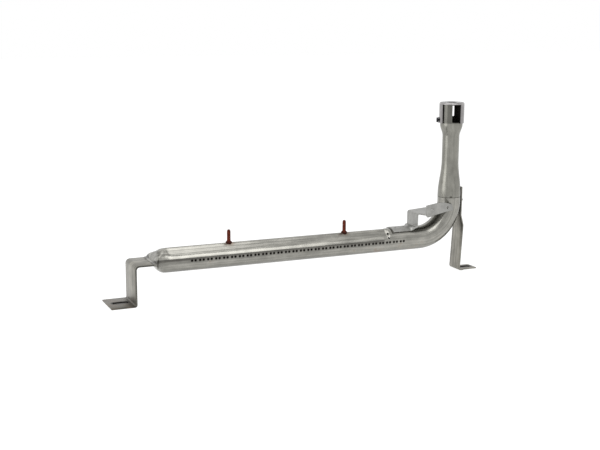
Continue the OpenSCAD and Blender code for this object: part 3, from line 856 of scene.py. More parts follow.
def screw_finish(colours):
    """Black oxide with rubbed places."""
    steel = Steel("screw steel", colours.screw, (900.0, 900.0, 900.0), 500.0, 0.5)
    steel.shade(steel.stains, (0.4, 0.7), 0.7, 1.6)
    return steel.finish()


def stud_finish(colours):
    """Heat tinted copper coating, dull and dark at the weld."""
    steel = Steel("stud copper", colours.stud, (700.0, 700.0, 700.0), 420.0, 0.5, metallic=0.8)
    steel.shade(steel.stains, (0.35, 0.7), 0.7, 1.3)
    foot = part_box("front_stud")[0].z
    steel.shade(steel.z, (foot + 0.5 * MM, foot + 5 * MM), 0.3, 1.0)
    return steel.finish()


# ---------- the burner tube ----------

NECK_STEPS = 18
FLANK_STEPS = 44
SHOULDER_STEPS = 8
ELBOW_STEPS = 32
COLLAR_STEPS = 4
RING_DEGREES = 3
LIP_SQUARENESS = 7.0
LIP_CORNER = 4 * MM
LIP_STATIONS = (0.0, 0.25, 0.6, 1.0, 1.6, 2.6)
# Run beyond the neck in millimetres, and how far the pressed section has formed there.
PRESSING = ((1, 0.72), (2.5, 0.84), (4.5, 0.93), (7, 0.98), (10, 1.0))
CRUMPLE_DEPTH = 0.5 * MM


def smooth(t):
    """Ease from 0 to 1."""
    t = min(max(t, 0.0), 1.0)
    return t * t * (3 - 2 * t)


def mix(a, b, t):
    """Linear blend."""
    return a + (b - a) * t


class TubeForm:
    """Places and sections of the tube's wall, from the flat lip to the elbow's collar."""

    def __init__(self, sizes):
        self.sizes = sizes
        self.radius = sizes.diameter / 2
        self.axis = sizes.axis_height
        self.lip_x = FRONT_X + sizes.lip_start
        self.neck_x = self.lip_x + sizes.lip_length
        self.full_x = self.neck_x + sizes.neck_length
        self.round_x = FRONT_X + sizes.shoulder_end
        self.shoulder_x = self.round_x - sizes.shoulder_length
        self.elbow_x = UPRIGHT_X - sizes.elbow_radius
        self.collar_z = self.axis + sizes.elbow_radius
        self.top = self.axis + self.radius
        self.crown_top = self.top - sizes.crown_drop
        self.lip_width = math.pi * (sizes.diameter - sizes.wall) / 2 + sizes.wall
        self.lip_thickness = 1.6 * MM + 2 * sizes.wall
        self.flank_reach = self.radius * math.cos(sizes.flank_turn - sizes.crease_turn)
        span = self.radius - sizes.crown_drop - self.flank_reach
        self.crown_z = span / (1 - math.sin(sizes.flank_turn))
        self.crown_radius = self.radius - sizes.crown_drop - self.crown_z

    def pressed_radius(self, angle, inset):
        """Distance of the pressed section's wall from the axis."""
        turn_up = math.asin(max(-1.0, min(1.0, math.sin(angle))))
        outer = self.radius - inset
        reach = self.flank_reach - inset
        crown = self.crown_radius - inset
        lean = self.sizes.flank_turn
        crease = lean - math.acos(reach / outer)
        if turn_up < crease:
            return outer
        tangent = math.atan2(self.crown_z + crown * math.sin(lean), crown * math.cos(lean))
        if turn_up < tangent:
            low = math.tan(crease - lean)
            part = (math.tan(turn_up - lean) - low) / (math.tan(tangent - lean) - low)
            reach += self.sizes.flank_rounding * self.rolled_edge(part)
            return reach / math.cos(turn_up - lean)
        side = self.crown_z * math.cos(turn_up)
        return self.crown_z * math.sin(turn_up) + math.sqrt(crown * crown - side * side)

    def rolled_edge(self, part):
        """Share of the flank's rounding at a part of its width, from the crease to the crown."""
        rising = min(part / 0.375, 1.0)
        falling = min((1.0 - part) / 0.625, 1.0)
        edge = min(rising, falling)
        return edge - 0.14 * smooth((edge - 0.72) / 0.28)

    def crown_height(self, y):
        """Height of the pressed crown at a distance from the tube's plane."""
        if abs(y) > self.crown_radius * math.cos(self.sizes.flank_turn):
            return self.crown_top - self.crown_radius * 0.25
        return self.axis + self.crown_z + math.sqrt(self.crown_radius ** 2 - y * y)

    def section(self, half_width, half_height, squareness, pressed, inset):
        """Ring of (Y, Z) points about the axis."""
        ring = []
        for degrees in range(0, 360, RING_DEGREES):
            a = math.radians(degrees)
            power = 2 / squareness
            y = (half_width - inset) * math.copysign(abs(math.cos(a)) ** power, math.cos(a))
            z = (half_height - inset) * math.copysign(abs(math.sin(a)) ** power, math.sin(a))
            if pressed > 0:
                reach = self.pressed_radius(a, inset)
                y = mix(y, reach * math.cos(a), pressed)
                z = mix(z, reach * math.sin(a), pressed)
            ring.append((y, z))
        return ring

    def stations(self, inset):
        """Rings of the wall from the lip to the collar's end, in space."""
        sizes = self.sizes
        rings = []

        def straight(x, *shape, skew=0.0):
            ring = self.section(*shape, inset)
            rings.append([Vector((x + skew * y, y, self.axis + z)) for y, z in ring])

        lip = (self.lip_width / 2, self.lip_thickness / 2)
        for step in LIP_STATIONS:
            x = step * MM
            cut_back = LIP_CORNER - math.sqrt(LIP_CORNER ** 2 - max(LIP_CORNER - x, 0.0) ** 2)
            thin = 0.5 * MM * (1 - smooth(step / LIP_STATIONS[-1]))
            straight(self.lip_x + x, lip[0] - cut_back * 0.55, lip[1] - thin, LIP_SQUARENESS, 0.0)
        for i in range(NECK_STEPS + 1):
            t = i / NECK_STEPS
            high = math.sin(math.pi / 2 * t ** 0.85) ** 0.85 if t > 0 else 0.0
            wide = smooth(t ** 0.7)
            straight(mix(self.neck_x, self.full_x, t), mix(lip[0], self.radius, wide),
                     mix(lip[1], self.radius, high), mix(LIP_SQUARENESS, 2.0, smooth(t * 2.4)),
                     0.6 * smooth((t - 0.55) / 0.45), skew=0.12 * math.sin(math.pi * t))
        for run, pressed in PRESSING:
            straight(self.full_x + run * MM, self.radius, self.radius, 2.0, pressed)
        formed_x = self.full_x + PRESSING[-1][0] * MM
        for i in range(1, FLANK_STEPS + 1):
            x = mix(formed_x, self.shoulder_x, i / FLANK_STEPS)
            straight(x, self.radius, self.radius, 2.0, 1.0)
        for i in range(1, SHOULDER_STEPS + 1):
            t = i / SHOULDER_STEPS
            straight(mix(self.shoulder_x, self.round_x, t), self.radius, self.radius, 2.0,
                     1 - smooth(t))
        for i in range(1, SHOULDER_STEPS + 1):
            x = mix(self.round_x, self.elbow_x, i / SHOULDER_STEPS)
            straight(x, self.radius, self.radius, 2.0, 0.0)
        circle = self.section(self.radius, self.radius, 2.0, 0.0, inset)
        for i in range(1, ELBOW_STEPS + 1):
            a = math.pi / 2 * i / ELBOW_STEPS
            rings.append([Vector((self.elbow_x + (sizes.elbow_radius - z) * math.sin(a), y,
                                  self.collar_z - (sizes.elbow_radius - z) * math.cos(a)))
                          for y, z in circle])
        for i in range(1, COLLAR_STEPS + 1):
            height = mix(self.collar_z, SEAM_Z, i / COLLAR_STEPS)
            rings.append([Vector((UPRIGHT_X - z, y, height)) for y, z in circle])
        return rings

    def unbent(self, point):
        """The point's place on the tube as it was before bending: run, side and height over the axis."""
        if point.x <= self.elbow_x:
            return Vector((point.x, point.y, point.z - self.axis))
        bend = self.sizes.elbow_radius
        if point.z >= self.collar_z:
            run = self.elbow_x + bend * math.pi / 2 + point.z - self.collar_z
            return Vector((run, point.y, UPRIGHT_X - point.x))
        dx, dz = point.x - self.elbow_x, point.z - self.collar_z
        return Vector((self.elbow_x + bend * math.atan2(dx, -dz), point.y, bend - math.hypot(dx, dz)))

    def outward(self, point):
        """Direction out of the tube at a place; the lip and the neck count as outside."""
        place = self.unbent(point)
        if place.x < self.full_x:
            return Vector((0, 0, 0))
        bend = min(max(place.x - self.elbow_x, 0.0) / self.sizes.elbow_radius, math.pi / 2)
        return Vector((-place.z * math.sin(bend), place.y, place.z * math.cos(bend)))


def crumple(form, rings):
    """Presses small dents round the neck, where the round wall folds down to the lip."""
    for ring in rings:
        x = ring[0].x
        t = (x - form.neck_x) / (form.full_x - form.neck_x)
        amount = smooth(t / 0.3) * smooth((1.5 - t) / 0.5) * CRUMPLE_DEPTH
        if amount <= 0 or x > form.elbow_x:
            continue
        for point in ring:
            out = Vector((0, point.y, point.z - form.axis))
            seed = Vector((x * 160, out.y * 190, out.z * 190))
            point += out.normalized() * (amount * (noise.noise(seed) - 0.2))


def store_inside(piece, outward):
    """Stores 1 on the mesh where it faces away from the outward direction that a place gives."""
    mesh = piece.data
    shares = []
    for vertex in mesh.vertices:
        out = outward(vertex.co)
        shares.append(float(out.length > 0 and vertex.normal.dot(out.normalized()) < 0.25))
    mesh.attributes.new("inside", "FLOAT", "POINT")
    mesh.attributes["inside"].data.foreach_set("value", shares)


def from_upright(point):
    """Direction from the upright's axis to a place."""
    return Vector((point.x - UPRIGHT_X, point.y, 0.0))


def store_skin(piece, form):
    """Stores the unbent place and the rise in degrees on the mesh, for the finish."""
    mesh = piece.data
    places = [form.unbent(vertex.co) for vertex in mesh.vertices]
    rises = [math.degrees(math.atan2(place.z, abs(place.y))) for place in places]
    mesh.attributes.new("skin", "FLOAT_VECTOR", "POINT")
    mesh.attributes["skin"].data.foreach_set("vector", [value for place in places for value in place])
    mesh.attributes.new("rise", "FLOAT", "POINT")
    mesh.attributes["rise"].data.foreach_set("value", rises)


def make_tube(scene):
    """The ported burner tube with its lip, neck, pressed flanks, shoulder, elbow and holes."""
    sizes = scene.burner_tube_sizes
    form = TubeForm(sizes)
    outer = form.stations(0.0)
    inner = form.stations(sizes.wall)
    crumple(form, outer)
    crumple(form, inner)
    bm = bmesh.new()
    add_rings(bm, outer + inner[::-1], closed=True)
    piece = new_piece("burner_tube_wall", bm)
    cutter = bmesh.new()
    middle = (form.shoulder_x + form.round_x) / 2
    for rise in (sizes.carry_low, sizes.carry_high):
        reach = form.flank_reach / math.cos(sizes.flank_turn - rise)
        slope = math.atan((form.radius - reach) / sizes.shoulder_length)
        for side in (-1, 1):
            out = Vector((0, side * math.cos(rise), math.sin(rise)))
            centre = Vector((middle, 0, form.axis)) + out * (reach + form.radius) / 2
            direction = out * math.cos(slope) - Vector((math.sin(slope), 0, 0))
            add_cylinder(cutter, centre, direction, sizes.carry_diameter / 2, 5 * sizes.wall)
    add_screw_bore(cutter, REAR_X, 8 * MM)
    piece = cut(piece, cutter)
    finish = tube_finish(scene.burner_finishes, sizes)
    piece = grow(piece, port_tree(), {
        "Pairs": sizes.port_pairs, "Pitch": sizes.port_pitch, "Gap": sizes.port_gap,
        "Diameter": sizes.port_diameter, "Depth": sizes.diameter + 4 * MM,
        "First port": (FRONT_X + sizes.port_start, 0.0, form.axis), "Material": finish})
    store_skin(piece, form)
    store_inside(piece, form.outward)
    hand_over(piece, "burner", "burner_tube", finish)


# ---------- the venturi and its air shutter ----------

def ring_sector(bm, start, width, inner, floor, roof, steps=60):
    """Closed sector outside a radius about the upright; floor and roof give heights by its part."""
    outer = AIR_WINDOW_REACH
    rings = []
    for i in range(steps + 1):
        part = i / steps
        a = start + width * part
        low, high = floor(part), roof(part)
        corners = ((inner, low), (outer, low), (outer, high), (inner, high))
        rings.append([Vector((UPRIGHT_X + r * math.cos(a), r * math.sin(a), z)) for r, z in corners])
    add_rings(bm, rings, caps=True)


def make_venturi(scene):
    """The venturi: spigot, band, taper, throat, flare and the mixer head with its air windows."""
    sizes = scene.burner_venturi_sizes
    wall = scene.burner_tube_sizes.wall
    tube = scene.burner_tube_sizes.diameter / 2
    spigot = tube - wall - 0.05 * MM
    band_z = SEAM_Z + sizes.band_height
    throat_z = band_z + sizes.taper_length
    flare_z = throat_z + sizes.throat_length
    head_z = flare_z + sizes.flare_length
    head_top = head_z + sizes.head_height

    def side(inset):
        points = []
        for i in range(25):
            t = i / 24
            ease = (1 - math.cos(math.pi * t)) / 2
            points.append((mix(tube, sizes.throat_radius, ease) - inset,
                           band_z + sizes.taper_length * t))
        for i in range(15):
            t = i / 14
            ease = (1 - math.cos(math.pi * t)) / 2
            points.append((mix(sizes.throat_radius, sizes.head_radius, ease) - inset,
                           flare_z + sizes.flare_length * t))
        return points

    profile = [(spigot - wall, SEAM_Z - sizes.spigot_length), (spigot, SEAM_Z - sizes.spigot_length),
               (spigot, SEAM_Z + 0.02 * MM), (tube - 0.25 * MM, SEAM_Z + 0.05 * MM),
               (tube, SEAM_Z + 0.35 * MM)]
    profile += side(0.0)
    profile += [(sizes.head_radius, head_top - 0.2 * MM), (sizes.head_radius - 0.2 * MM, head_top),
                (sizes.head_radius - wall + 0.2 * MM, head_top),
                (sizes.head_radius - wall, head_top - 0.2 * MM)]
    profile += side(wall)[::-1]
    profile.append((spigot - wall, SEAM_Z))
    bm = bmesh.new()
    lathe(bm, profile, (UPRIGHT_X, 0), 128)
    piece = new_piece("venturi_tube_wall", bm)
    cutter = bmesh.new()
    corner = 1.2 * MM
    for start, width, sill in ((sizes.front_start, sizes.front_width, sizes.sill),
                               (sizes.back_start, sizes.back_width, sizes.back_sill)):
        arc_length = width * sizes.head_radius

        def floor(part):
            inside = min(part, 1 - part) * arc_length
            lack = max(corner - inside, 0.0)
            return head_z + sill + corner - math.sqrt(corner * corner - lack * lack)

        ring_sector(cutter, start, width, 6 * MM, floor, lambda part: head_top + 2 * MM)
    add_screw_bore(cutter, REAR_X, 8 * MM)
    piece = cut(piece, cutter)
    store_inside(piece, from_upright)
    hand_over(piece, "burner", "venturi_tube", venturi_finish(scene.burner_finishes))


def make_shutter(scene):
    """The cap-shaped air shutter with its windows, orifice collar and screw hole."""
    sizes = scene.burner_shutter_sizes
    thick, rounding = sizes.thickness, sizes.rounding
    inner = sizes.radius - thick
    collar = sizes.orifice_radius + thick
    turned = 0.35 * MM
    corner = (sizes.radius - rounding, CAP_TOP - rounding)
    profile = [(inner, CAP_LOW), (sizes.radius, CAP_LOW)]
    profile += arc(corner, rounding, 0, 90, 8)
    profile += [(sizes.orifice_radius + turned, CAP_TOP)]
    profile += [(sizes.orifice_radius + turned - turned * math.sin(math.radians(a)),
                 CAP_TOP - turned + turned * math.cos(math.radians(a))) for a in (30, 60, 90)]
    profile += [(sizes.orifice_radius, CAP_TOP - sizes.orifice_depth),
                (collar, CAP_TOP - sizes.orifice_depth), (collar, CAP_TOP - thick)]
    profile += arc(corner, rounding - thick, 90, 0, 6)
    bm = bmesh.new()
    lathe(bm, profile, (UPRIGHT_X, 0), 128)
    piece = new_piece("air_shutter_cap", bm)
    cutter = bmesh.new()
    window_top = CAP_TOP - sizes.window_rim
    for half_turn in (0, math.pi):
        start = sizes.facing + half_turn - sizes.window_width / 2
        ring_sector(cutter, start, sizes.window_width, sizes.radius - 1.4 * MM,
                    lambda part: CAP_LOW - 1 * MM, lambda part: window_top)
    hole = Vector((UPRIGHT_X, 0, LOCK_Z)) + LOCK_AXIS * (sizes.radius - thick / 2)
    add_cylinder(cutter, hole, LOCK_AXIS, sizes.screw_hole / 2, 4 * thick)
    piece = cut(piece, cutter)
    store_inside(piece, lambda point: from_upright(point) + Vector((0, 0, (point.z - CAP_LOW) * 0.6)))
    soften(piece, 0.12 * MM, 50)
    finish = shutter_finish(scene.burner_finishes)
    hand_over(piece, "air_shutter", "air_shutter", finish)


# ---------- screws and studs ----------

def make_screw(scene, name, body, node, place, direction, shank):
    """Hex washer screw with its washer's underside at a place, its head along a direction."""
    sizes = scene.burner_screw_sizes
    bm = bmesh.new()
    washer = sizes.washer / 2
    rim = 0.2 * MM
    pole = 0.02 * MM
    disc = [(pole, 0.0), (washer - rim, 0.0), (washer, rim), (washer, sizes.washer_height - rim),
            (washer - rim, sizes.washer_height), (pole, sizes.washer_height)]
    lathe(bm, disc, (0, 0), 48)
    hex_radius = sizes.flats / 2 / math.cos(math.pi / 6)
    top = sizes.washer_height + sizes.hex_height
    rings = []
    for radius, height in ((hex_radius, sizes.washer_height * 0.6), (hex_radius, top - 0.3 * MM),
                           (hex_radius - 0.35 * MM, top), (hex_radius - 1.1 * MM, top),
                           (hex_radius - 1.3 * MM, top - 0.35 * MM), (0.1 * MM, top - 0.35 * MM)):
        rings.append(level_ring((0, 0), radius, height, 6))
    add_rings(bm, rings, caps=True)
    piece = new_piece(name, bm, 25)
    finish = shared("screw steel", screw_finish, scene.burner_finishes)
    piece = grow(piece, thread_tree(), {"Length": shank, "Diameter": sizes.shank,
                                        "Pitch": min(sizes.thread_pitch, shank / 2),
                                        "Material": finish}, 30)
    piece.data.transform(placed(place, direction))
    soften(piece, 0.12 * MM, 50)
    hand_over(piece, body, node, finish)


def make_stud(scene, name, node, x):
    """Weld stud with a rounded tip, its collar following the tube's crown."""
    sizes = scene.burner_stud_sizes
    form = TubeForm(scene.burner_tube_sizes)
    base = form.crown_top
    radius = sizes.diameter / 2
    collar = sizes.collar_diameter / 2
    dome = base + sizes.height - radius
    weld = base + sizes.collar_height
    end = radius * 0.96
    profile = [(end * math.cos(math.radians(a)), dome + radius * math.sin(math.radians(a)))
               for a in (88, 72, 50, 25)]
    profile += [(end, dome), (radius, dome - 1.2 * MM), (radius, weld + 0.8 * MM),
                (radius + 0.35 * MM, weld + 0.2 * MM), (collar - 0.8 * MM, weld - 0.35 * MM),
                (collar - 0.15 * MM, weld - 0.95 * MM)]
    steps = 40
    rings = [level_ring((x, 0), r, z, steps) for r, z in profile]
    skirt = []
    for i in range(steps):
        a = math.tau * i / steps
        wave = collar * (1 + 0.04 * math.sin(3 * a) + 0.03 * math.cos(5 * a + 1))
        y = wave * math.sin(a)
        skirt.append(Vector((x + wave * math.cos(a), y, form.crown_height(y) - 0.15 * MM)))
    rings.append(skirt)
    bm = bmesh.new()
    add_rings(bm, rings, caps=True)
    piece = new_piece(name, bm, 50)
    finish = shared("stud copper", stud_finish, scene.burner_finishes)
    hand_over(piece, "burner", node, finish)


# ---------- strap brackets ----------

BEND_STEPS = 10


def strap_rings(path, widths, thickness):
    """Rounded strip sections along a path of (X, Z, normal angle) about the strap's middle."""
    rings = []
    edge = 0.3 * MM
    for (x, z, facing), width in zip(path, widths):
        out = Vector((math.cos(facing), 0, math.sin(facing)))
        half, thick = width / 2, thickness / 2
        ring = []
        for start, sy, sn in ((0, 1, 1), (90, -1, 1), (180, -1, -1), (270, 1, -1)):
            for degrees in (start, start + 45, start + 90):
                a = math.radians(degrees)
                y = sy * (half - edge) + edge * math.cos(a)
                n = sn * (thick - edge) + edge * math.sin(a)
                ring.append(Vector((x, y, z)) + out * n)
        rings.append(ring)
    return rings


def add_slot(bm, x, z, sizes, depth):
    """Closed cutter of a foot slot along X with round ends."""
    outline = []
    width = sizes.slot_width
    half = (sizes.slot_length - width) / 2
    for side, first in ((1, -90), (-1, 90)):
        for i in range(13):
            a = math.radians(first + 180 * i / 12)
            outline.append(Vector((x + side * half + width / 2 * math.cos(a), width / 2 * math.sin(a),
                                   z - depth / 2)))
    add_prism(bm, outline, (0, 0, depth))


def bend_path(centre, radius, start, end, inward=False):
    """Middle line round a bend, with normals pointing away from the centre, or to it."""
    path = []
    for x, z in arc(centre, radius, start, end, BEND_STEPS):
        a = math.atan2(z - centre[1], x - centre[0])
        path.append((x, z, a + math.pi if inward else a))
    return path


def make_front_bracket(scene):
    """Front strap: a tab held in the tube's lip, a bend, a leg and a foot with a slot."""
    sizes = scene.burner_strap_sizes
    tube = scene.burner_tube_sizes
    t = sizes.thickness
    up = math.pi / 2
    tab_z = tube.axis_height
    curl = sizes.top_bend + t / 2
    foot = sizes.foot_bend + t / 2
    leg_x = FRONT_X + t / 2
    top_centre = (leg_x + curl, tab_z - curl)
    foot_centre = (leg_x - foot, t / 2 + foot)
    tab_x = FRONT_X + tube.lip_start + tube.lip_length - 0.1 * MM
    path = [(tab_x, tab_z, up), (top_centre[0], tab_z, up)]
    path += bend_path(top_centre, curl, 90, 180)[1:]
    path += bend_path(foot_centre, foot, 0, -90, inward=True)
    toe = FRONT_X - sizes.front_foot
    path += [(toe + 0.3 * MM, t / 2, up), (toe, t / 2, up)]
    bm = bmesh.new()
    add_rings(bm, strap_rings(path, [sizes.front_width] * len(path), t), caps=True)
    piece = new_piece("front_bracket_strap", bm)
    cutter = bmesh.new()
    add_slot(cutter, FRONT_X - sizes.front_slot, t / 2, sizes, 3 * t)
    piece = cut(piece, cutter)
    soften(piece, 0.25 * MM, 60)
    finish = shared("strap steel", strap_finish, scene.burner_finishes, sizes)
    hand_over(piece, "burner", "front_bracket", finish)


def make_rear_bracket(scene):
    """Rear strap: a narrow top, a widening slope, a leaning leg and a stepped foot with a slot."""
    sizes = scene.burner_strap_sizes
    t = sizes.thickness
    up = math.pi / 2
    rear_x = UPRIGHT_X + scene.burner_tube_sizes.diameter / 2
    foot_x = rear_x - sizes.rear_lean
    foot = sizes.foot_bend + t / 2
    knee_low = sizes.foot_bend + t
    path, widths = [], []
    heights = [sizes.rear_top, sizes.rear_top - 0.4 * MM, 95 * MM, 84 * MM, 74 * MM,
               sizes.rear_step + sizes.rear_slope, sizes.rear_step + sizes.rear_slope / 2,
               sizes.rear_step, 50 * MM, 40 * MM, 28 * MM, 16 * MM]
    lean = math.atan2(sizes.rear_lean, sizes.rear_knee - knee_low)
    for height in heights:
        below = max(sizes.rear_knee - height, 0.0)
        path.append((rear_x + t / 2 - below * math.tan(lean), height, math.pi))
        part = (sizes.rear_step + sizes.rear_slope - height) / sizes.rear_slope
        widths.append(mix(sizes.rear_top_width, sizes.rear_width, min(max(part, 0.0), 1.0)))
    centre = (foot_x + t / 2 + foot, t / 2 + foot)
    bend = bend_path(centre, foot, 180, 270)
    path += bend
    widths += [sizes.rear_width] * len(bend)
    step = foot_x + 2 * knee_low
    toe = foot_x + sizes.rear_foot
    for x, width in ((step, sizes.rear_width), (step + 2.4 * MM, sizes.rear_toe_width),
                     (toe - 0.3 * MM, sizes.rear_toe_width), (toe, sizes.rear_toe_width)):
        path.append((x, t / 2, -up))
        widths.append(width)
    bm = bmesh.new()
    add_rings(bm, strap_rings(path, widths, t), caps=True)
    piece = new_piece("rear_bracket_strap", bm)
    cutter = bmesh.new()
    add_slot(cutter, foot_x + sizes.rear_slot, t / 2, sizes, 3 * t)
    add_screw_bore(cutter, rear_x + t / 2, 4 * t)
    piece = cut(piece, cutter)
    soften(piece, 0.25 * MM, 60)
    finish = shared("strap steel", strap_finish, scene.burner_finishes, sizes)
    hand_over(piece, "burner", "rear_bracket", finish)


# ---------- the igniter bracket ----------

class BracketForm:
    """Top surface of the igniter bracket's folded sheet, about the riser and the tube's top."""

    def __init__(self, sizes, tube):
        self.sizes = sizes
        self.radius = tube.diameter / 2
        self.axis = tube.axis_height
        self.top = self.axis + self.radius
        self.riser_x = UPRIGHT_X - sizes.back
        self.half = sizes.width / 2

    def flange_side(self, x):
        """Y of the flange's back face at x from the riser."""
        sizes = self.sizes
        along = sizes.back - sizes.flange_end - x
        return sizes.thickness / 4 - sizes.flange_side - along * math.tan(sizes.flange_turn)

    def near_side(self, x):
        """Y of the web's near edge at x from the riser."""
        if x <= 1.5 * MM:
            return -self.half
        notch = self.flange_side(6 * MM)
        if x < 6 * MM:
            return mix(-self.half, notch, smooth((x - 1.5 * MM) / (4.5 * MM)))
        return self.flange_side(x)

    def far_side(self, x):
        """Y of the web's far edge at x from the riser."""
        start = self.sizes.web - 6 * MM
        return self.half if x < start else mix(self.half, 4 * MM, (x - start) / (6 * MM))

    def web_height(self, x, y):
        """Height of the web's top over the feet."""
        sizes = self.sizes
        return self.top + sizes.lift + x * math.sin(sizes.pitch) + y * math.sin(sizes.roll)

    def rows(self, across):
        """Rows of points across the sheet, from the saddle's edge over the riser to the web's end."""
        sizes = self.sizes
        shell = self.radius + sizes.thickness
        fold = 1.1 * MM
        brow = fold + sizes.thickness
        parts = [i / across for i in range(across + 1)]
        rows = []
        start = -sizes.saddle
        for i in range(29):
            x = mix(start, -fold, i / 28)
            flat = smooth((x + sizes.arch_end) / (sizes.arch_end - 1.5 * MM))
            row = []
            for part in parts:
                a = (2 * part - 1) * sizes.arch_turn
                y = mix(shell * math.sin(a), (2 * part - 1) * self.half, flat)
                z = mix(self.axis + shell * math.cos(a), self.top + sizes.thickness, flat)
                row.append(Vector((self.riser_x + x, y, z)))
            rows.append(row)
        for i in range(1, 7):
            a = math.pi / 2 * i / 6
            x = -fold + fold * math.sin(a)
            z = self.top + sizes.thickness + fold * (1 - math.cos(a))
            rows.append([Vector((self.riser_x + x, (2 * part - 1) * self.half, z)) for part in parts])
        for i in range(1, 9):
            row = []
            for part in parts:
                y = (2 * part - 1) * self.half
                low = self.top + sizes.thickness + fold
                high = self.web_height(0, y) - brow
                row.append(Vector((self.riser_x, y, mix(low, high, i / 8))))
            rows.append(row)
        for i in range(1, 8):
            a = math.pi / 2 * i / 7
            x = brow * (1 - math.cos(a))
            row = []
            for part in parts:
                y = mix(self.near_side(x), self.half, part)
                z = self.web_height(x, y) - brow * (1 - math.sin(a))
                row.append(Vector((self.riser_x + x, y, z)))
            rows.append(row)
        for i in range(1, 25):
            x = mix(brow, sizes.web, i / 24)
            row = []
            for part in parts:
                y = mix(self.near_side(x), self.far_side(x), part)
                row.append(Vector((self.riser_x + x, y, self.web_height(x, y))))
            rows.append(row)
        return rows

    def on_flange(self, along, up, deep):
        """Point of the flange from its free end, its height over the tube and its depth to the back."""
        sizes = self.sizes
        c, s = math.cos(sizes.flange_turn), math.sin(sizes.flange_turn)
        return Vector((UPRIGHT_X - sizes.flange_end + along * c - deep * s,
                       -sizes.flange_side + along * s + deep * c, self.top + up))


def make_igniter_bracket(scene):
    """The folded bracket: a saddle on the tube, a riser, a web and the flange with two holes."""
    sizes = scene.burner_igniter_sizes
    form = BracketForm(sizes, scene.burner_tube_sizes)
    bm = bmesh.new()
    made = [[bm.verts.new(p) for p in row] for row in form.rows(20)]
    for low, high in zip(made, made[1:]):
        for i in range(len(low) - 1):
            bm.faces.new((low[i], high[i], high[i + 1], low[i + 1]))
    sheet = new_piece("igniter_sheet", bm, 60)
    if sheet.data.polygons[0].normal.z < 0:
        sheet.data.flip_normals()
    wall = sheet.modifiers.new("Thickness", "SOLIDIFY")
    wall.thickness = sizes.thickness
    wall.offset = -1
    wall.use_even_offset = True
    sheet = applied(sheet)
    low, high, size = sizes.flange_low, sizes.flange_high, sizes.flange
    corners = [(-size, low + 2.5 * MM), (3 * MM - size, low), (-7 * MM, low + 5.2 * MM),
               (0, low + 5.2 * MM), (-2 * MM, high - 4 * MM), (-17.4 * MM, high), (-24 * MM, high),
               (-size, high - 1.8 * MM)]
    plate = bmesh.new()
    front = [plate.verts.new(form.on_flange(a, u, 0)) for a, u in corners]
    back = [plate.verts.new(form.on_flange(a, u, sizes.thickness)) for a, u in corners]
    plate.faces.new(front)
    plate.faces.new(back[::-1])
    for i in range(len(corners)):
        j = (i + 1) % len(corners)
        plate.faces.new((front[j], front[i], back[i], back[j]))
    fold = [edge for edge in plate.edges if set(edge.verts) == {front[1], front[2]}]
    bmesh.ops.bevel(plate, geom=fold, offset=1.3 * MM, segments=5, profile=0.5, affect="EDGES")
    plate = new_piece("igniter_plate", plate)
    cutter = bmesh.new()
    for step in (0, 1):
        along = step * sizes.hole_spacing - sizes.hole_spacing - sizes.hole_end
        centre = form.on_flange(along, sizes.hole_height, 0)
        direction = form.on_flange(along, sizes.hole_height, 1) - centre
        add_cylinder(cutter, centre, direction, sizes.hole_diameter / 2, 6 * sizes.thickness)
    plate = cut(plate, cutter)
    nubs = bmesh.new()
    for x, rise in ((-26 * MM, 80), (-14 * MM, 82)):
        a = math.radians(rise)
        shell = form.radius + sizes.thickness
        place = Vector((form.riser_x + x, -shell * math.cos(a), form.axis + shell * math.sin(a)))
        bmesh.ops.create_uvsphere(nubs, u_segments=20, v_segments=12, radius=1.6 * MM,
                                  matrix=Matrix.Translation(place) @ Matrix.Diagonal((1, 1, 0.45, 1)))
    nub = new_piece("igniter_nubs", nubs)
    piece = joined("igniter_bracket_sheet", [sheet, plate, nub])
    soften(piece, 0.2 * MM, 50)
    finish = bracket_finish(scene.burner_finishes)
    hand_over(piece, "burner", "igniter_bracket", finish)


# ---------- stage ----------

SKY = (0.8, 0.8, 0.8, 1.0)
SKY_STRENGTH = 0.75
WHITE = (1.0, 1.0, 1.0, 1.0)
SLOT_SHADOW = (0.04, 0.035, 0.03, 1.0)
FLOOR_REACH = 6.0

# Name, place, target, size in metres and power in watts of each lamp.
LAMPS = (
    ("overhead softbox", (-0.13, 0.05, 1.1), (-0.13, 0.05, 0), (0.84, 0.6), 2.6),
    ("front softbox", (0.08, -0.75, 0.98), (0.08, 0, 0.05), (0.9, 0.42), 2.3),
    ("side softbox", (-0.72, 0.02, 0.18), (0.2, 0, 0.15), (0.5, 0.34), 0.9),
)


def add_lamp(name, place, target, size, power):
    """Rectangular soft lamp that faces a target."""
    data = bpy.data.lights.new(name, "AREA")
    data.shape = "RECTANGLE"
    data.size, data.size_y = size
    data.energy = power
    lamp = bpy.data.objects.new(name, data)
    lamp.location = place
    lamp.rotation_euler = (Vector(target) - Vector(place)).to_track_quat("-Z", "Y").to_euler()
    bpy.context.scene.collection.objects.link(lamp)


def show_backdrop(tree, lit, seen, output):
    """Ends a tree in one shader for light and another for what is seen, also in metal and glass."""
    path = tree.nodes.new("ShaderNodeLightPath").outputs
    rays = math_node(tree, "MAXIMUM", path["Is Camera Ray"], path["Is Glossy Ray"])
    rays = math_node(tree, "MAXIMUM", rays, path["Is Transmission Ray"])
    choice = add_node(tree, "ShaderNodeMixShader", {0: rays, 1: lit, 2: seen})
    tree.links.new(choice.outputs[0], tree.nodes[output].inputs["Surface"])


def make_world(scene):
    """A plain grey sky for light and a white one for what is seen."""
    world = bpy.data.worlds.new("Studio")
    world.use_nodes = True
    tree = world.node_tree
    sky = tree.nodes["Background"]
    sky.inputs["Color"].default_value = SKY
    sky.inputs["Strength"].default_value = SKY_STRENGTH
    white = add_node(tree, "ShaderNodeBackground", {"Color": WHITE})
    show_backdrop(tree, sky.outputs[0], white.outputs[0], "World Output")
    scene.world = world


